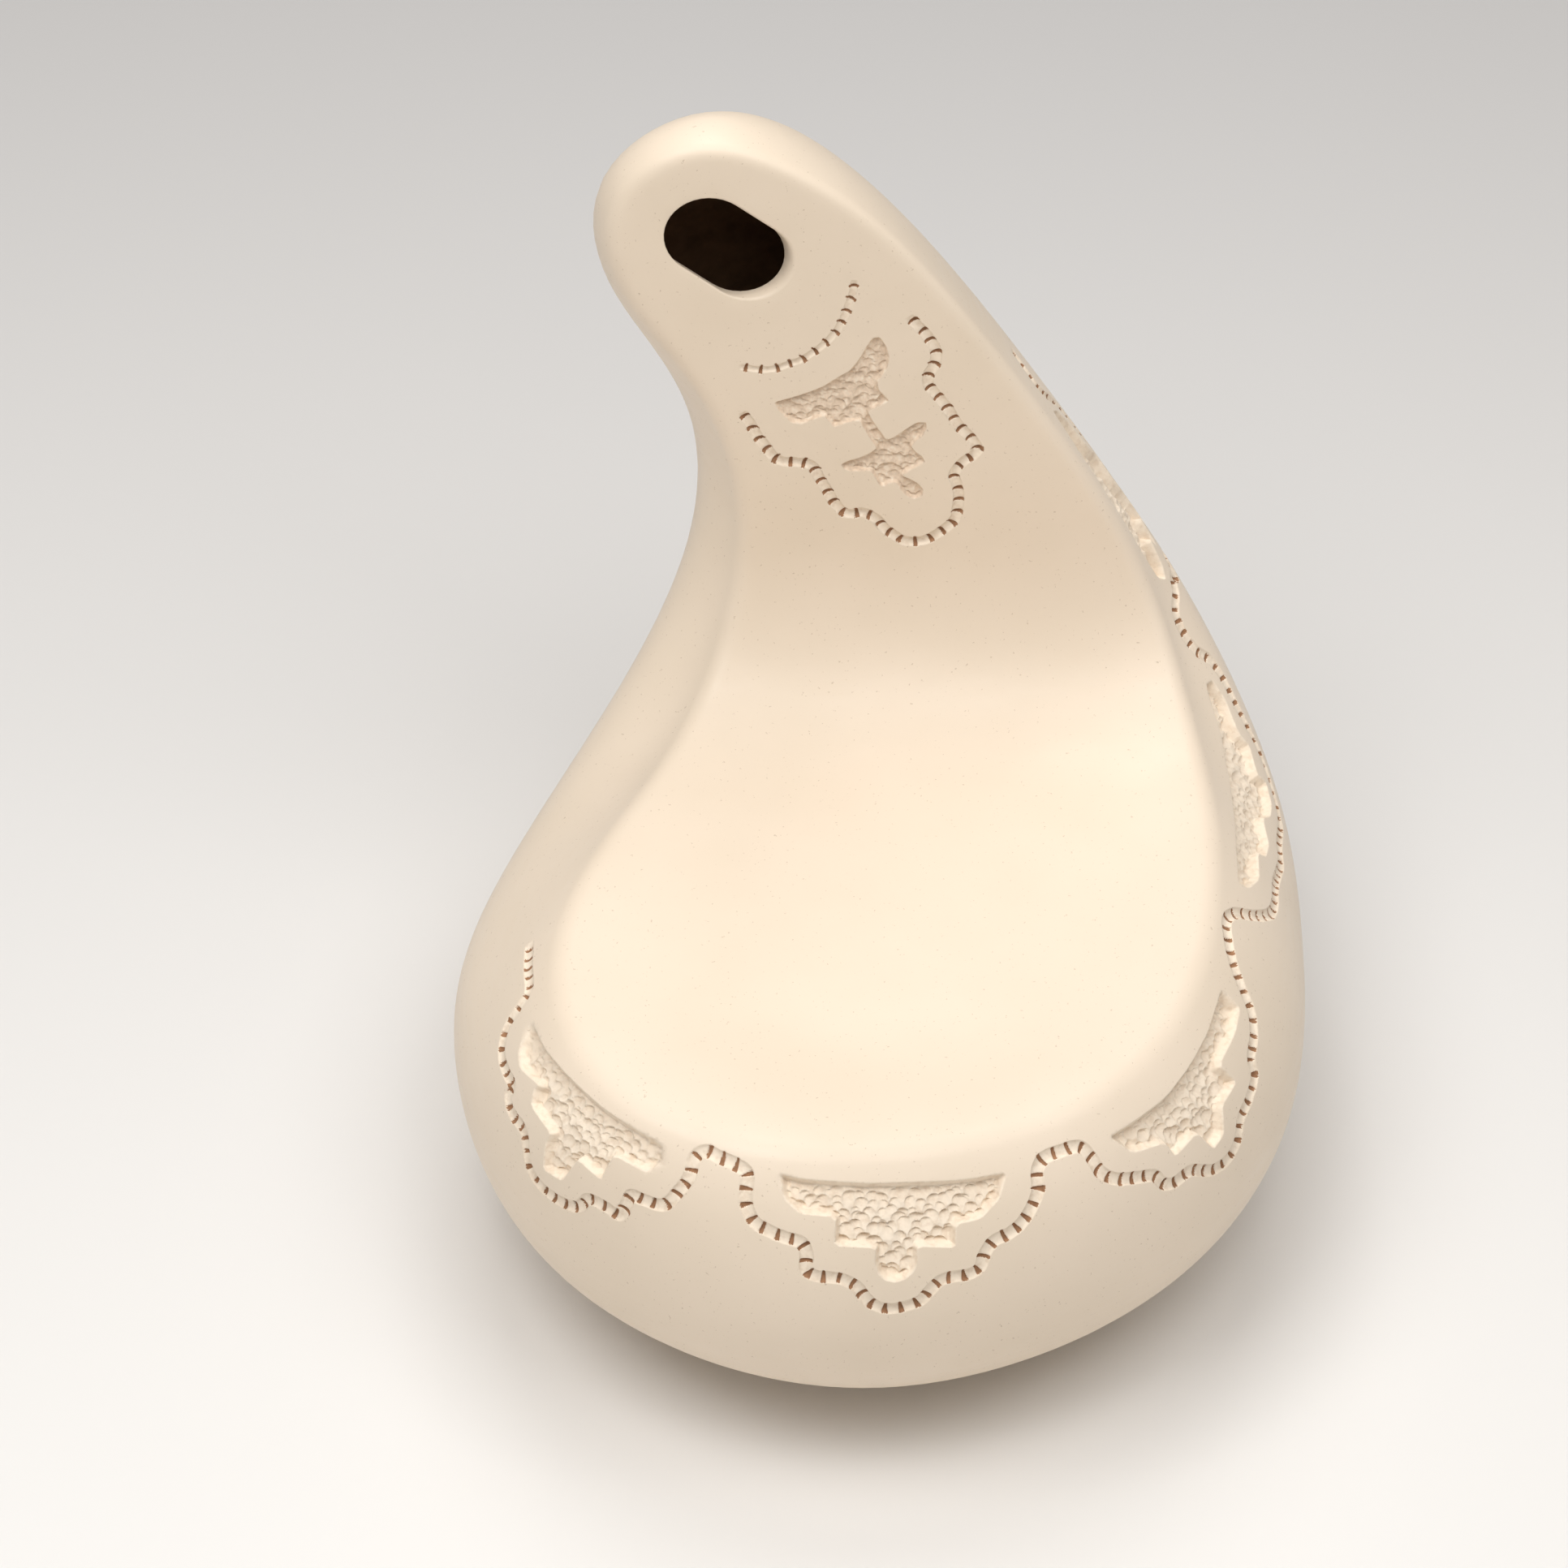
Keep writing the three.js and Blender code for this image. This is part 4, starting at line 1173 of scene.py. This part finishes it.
class SCENE_OT_vessel_stage(bpy.types.Operator):
    """Set the pale table, the soft light and the camera round the vessel"""

    bl_idname = "scene.vessel_stage"
    bl_label = "Vessel Stage"

    def execute(self, context):
        studio = context.scene.vessel_studio
        self.floor(studio)
        self.light(context, studio)
        self.camera(context, studio)
        context.scene.view_settings.view_transform = "Standard"
        return {"FINISHED"}

    def floor(self, studio):
        corners = np.array([(-1, -1, 0), (1, -1, 0), (1, 1, 0), (-1, 1, 0)]) * TABLE_HALF
        table = mesh_object("table_top", corners, np.array([(0, 1, 2, 3)]))
        top = Finish("table_top", 0.8, 0.2)
        place = top.nodes.new("ShaderNodeTexCoord")
        split = top.nodes.new("ShaderNodeSeparateXYZ")
        spread = top.nodes.new("ShaderNodeMapRange")
        spread.inputs["From Min"].default_value = SHADE_START
        spread.inputs["From Max"].default_value = SHADE_END
        top.links.new(place.outputs["Object"], split.inputs[0])
        top.links.new(split.outputs["Y"], spread.inputs["Value"])
        # Painted shade: the floor darkens towards the back as if the light fell off there.
        shade = top.ramp(spread.outputs["Result"], (0, studio.near_floor), (1, studio.far_floor))
        top.links.new(shade, top.inputs["Base Color"])
        table.data.materials.append(top.material)

    def light(self, context, studio):
        world = bpy.data.worlds.new("soft_room")
        world.use_nodes = True
        context.scene.world = world
        nodes, links = world.node_tree.nodes, world.node_tree.links
        fill = nodes["Background"]
        fill.inputs["Color"].default_value = (*studio.sky, 1)
        fill.inputs["Strength"].default_value = studio.fill
        seen = nodes.new("ShaderNodeBackground")
        # Beyond the table the camera sees the far floor's painted shade.
        seen.inputs["Color"].default_value = (*studio.far_floor, 1)
        seen.inputs["Strength"].default_value = 1.0
        path = nodes.new("ShaderNodeLightPath")
        either = nodes.new("ShaderNodeMixShader")
        links.new(path.outputs["Is Camera Ray"], either.inputs[0])
        links.new(fill.outputs[0], either.inputs[1])
        links.new(seen.outputs[0], either.inputs[2])
        links.new(either.outputs[0], nodes["World Output"].inputs["Surface"])
        for name, bearing, share in SOFTBOXES:
            lamp = bpy.data.lights.new(name, "AREA")
            lamp.shape, lamp.size, lamp.color = "SQUARE", SOFTBOX_SIZE, SOFTBOX_TINT
            lamp.energy = studio.lamps * share
            softbox = bpy.data.objects.new(name, lamp)
            turned = math.radians(bearing)
            away = Vector((math.sin(turned), -math.cos(turned), math.tan(SOFTBOX_RISE)))
            away.normalize()
            softbox.location = SOFTBOX_AIM + away * SOFTBOX_DISTANCE
            softbox.rotation_euler = (-away).to_track_quat("-Z", "Y").to_euler()
            context.scene.collection.objects.link(softbox)

    def camera(self, context, studio):
        lens = bpy.data.cameras.new("viewer")
        lens.lens = studio.camera_lens
        lens.sensor_width, lens.sensor_fit = SENSOR_WIDTH, "HORIZONTAL"
        viewer = bpy.data.objects.new("viewer", lens)
        tilt = studio.camera_height
        away = Vector((0, -math.cos(tilt), math.sin(tilt)))
        viewer.location = VIEW_MIDDLE + away * studio.camera_distance
        viewer.rotation_euler = (math.pi / 2 - tilt, 0, 0)
        context.scene.collection.objects.link(viewer)
        context.scene.camera = viewer


class VIEW3D_PT_clay_vessel(bpy.types.Panel):
    """Sizes, colours and makers of the carved vessel"""

    bl_label = "Carved Clay Vessel"
    bl_space_type = "VIEW_3D"
    bl_region_type = "UI"
    bl_category = "Vessel"

    def draw(self, context):
        for operator in (MESH_OT_clay_vessel, SCENE_OT_vessel_stage):
            self.layout.operator(operator.bl_idname)
        for key, group in GROUPS.items():
            box = self.layout.box()
            for name in group.__annotations__:
                box.prop(getattr(context.scene, key), name)


GROUPS = {
    "vessel_sizes": VesselSizes,
    "vessel_carving": VesselCarving,
    "vessel_finish": VesselFinish,
    "vessel_studio": VesselStudio,
}
CLASSES = (*GROUPS.values(), MESH_OT_clay_vessel, SCENE_OT_vessel_stage, VIEW3D_PT_clay_vessel)


def register():
    for item in CLASSES:
        bpy.utils.register_class(item)
    for key, group in GROUPS.items():
        setattr(bpy.types.Scene, key, PointerProperty(type=group))


def unregister():
    for key in GROUPS:
        delattr(bpy.types.Scene, key)
    for item in reversed(CLASSES):
        bpy.utils.unregister_class(item)


def main():
    register()
    bpy.ops.scene.vessel_stage()
    bpy.ops.mesh.clay_vessel()


if __name__ == "__main__":
    main()
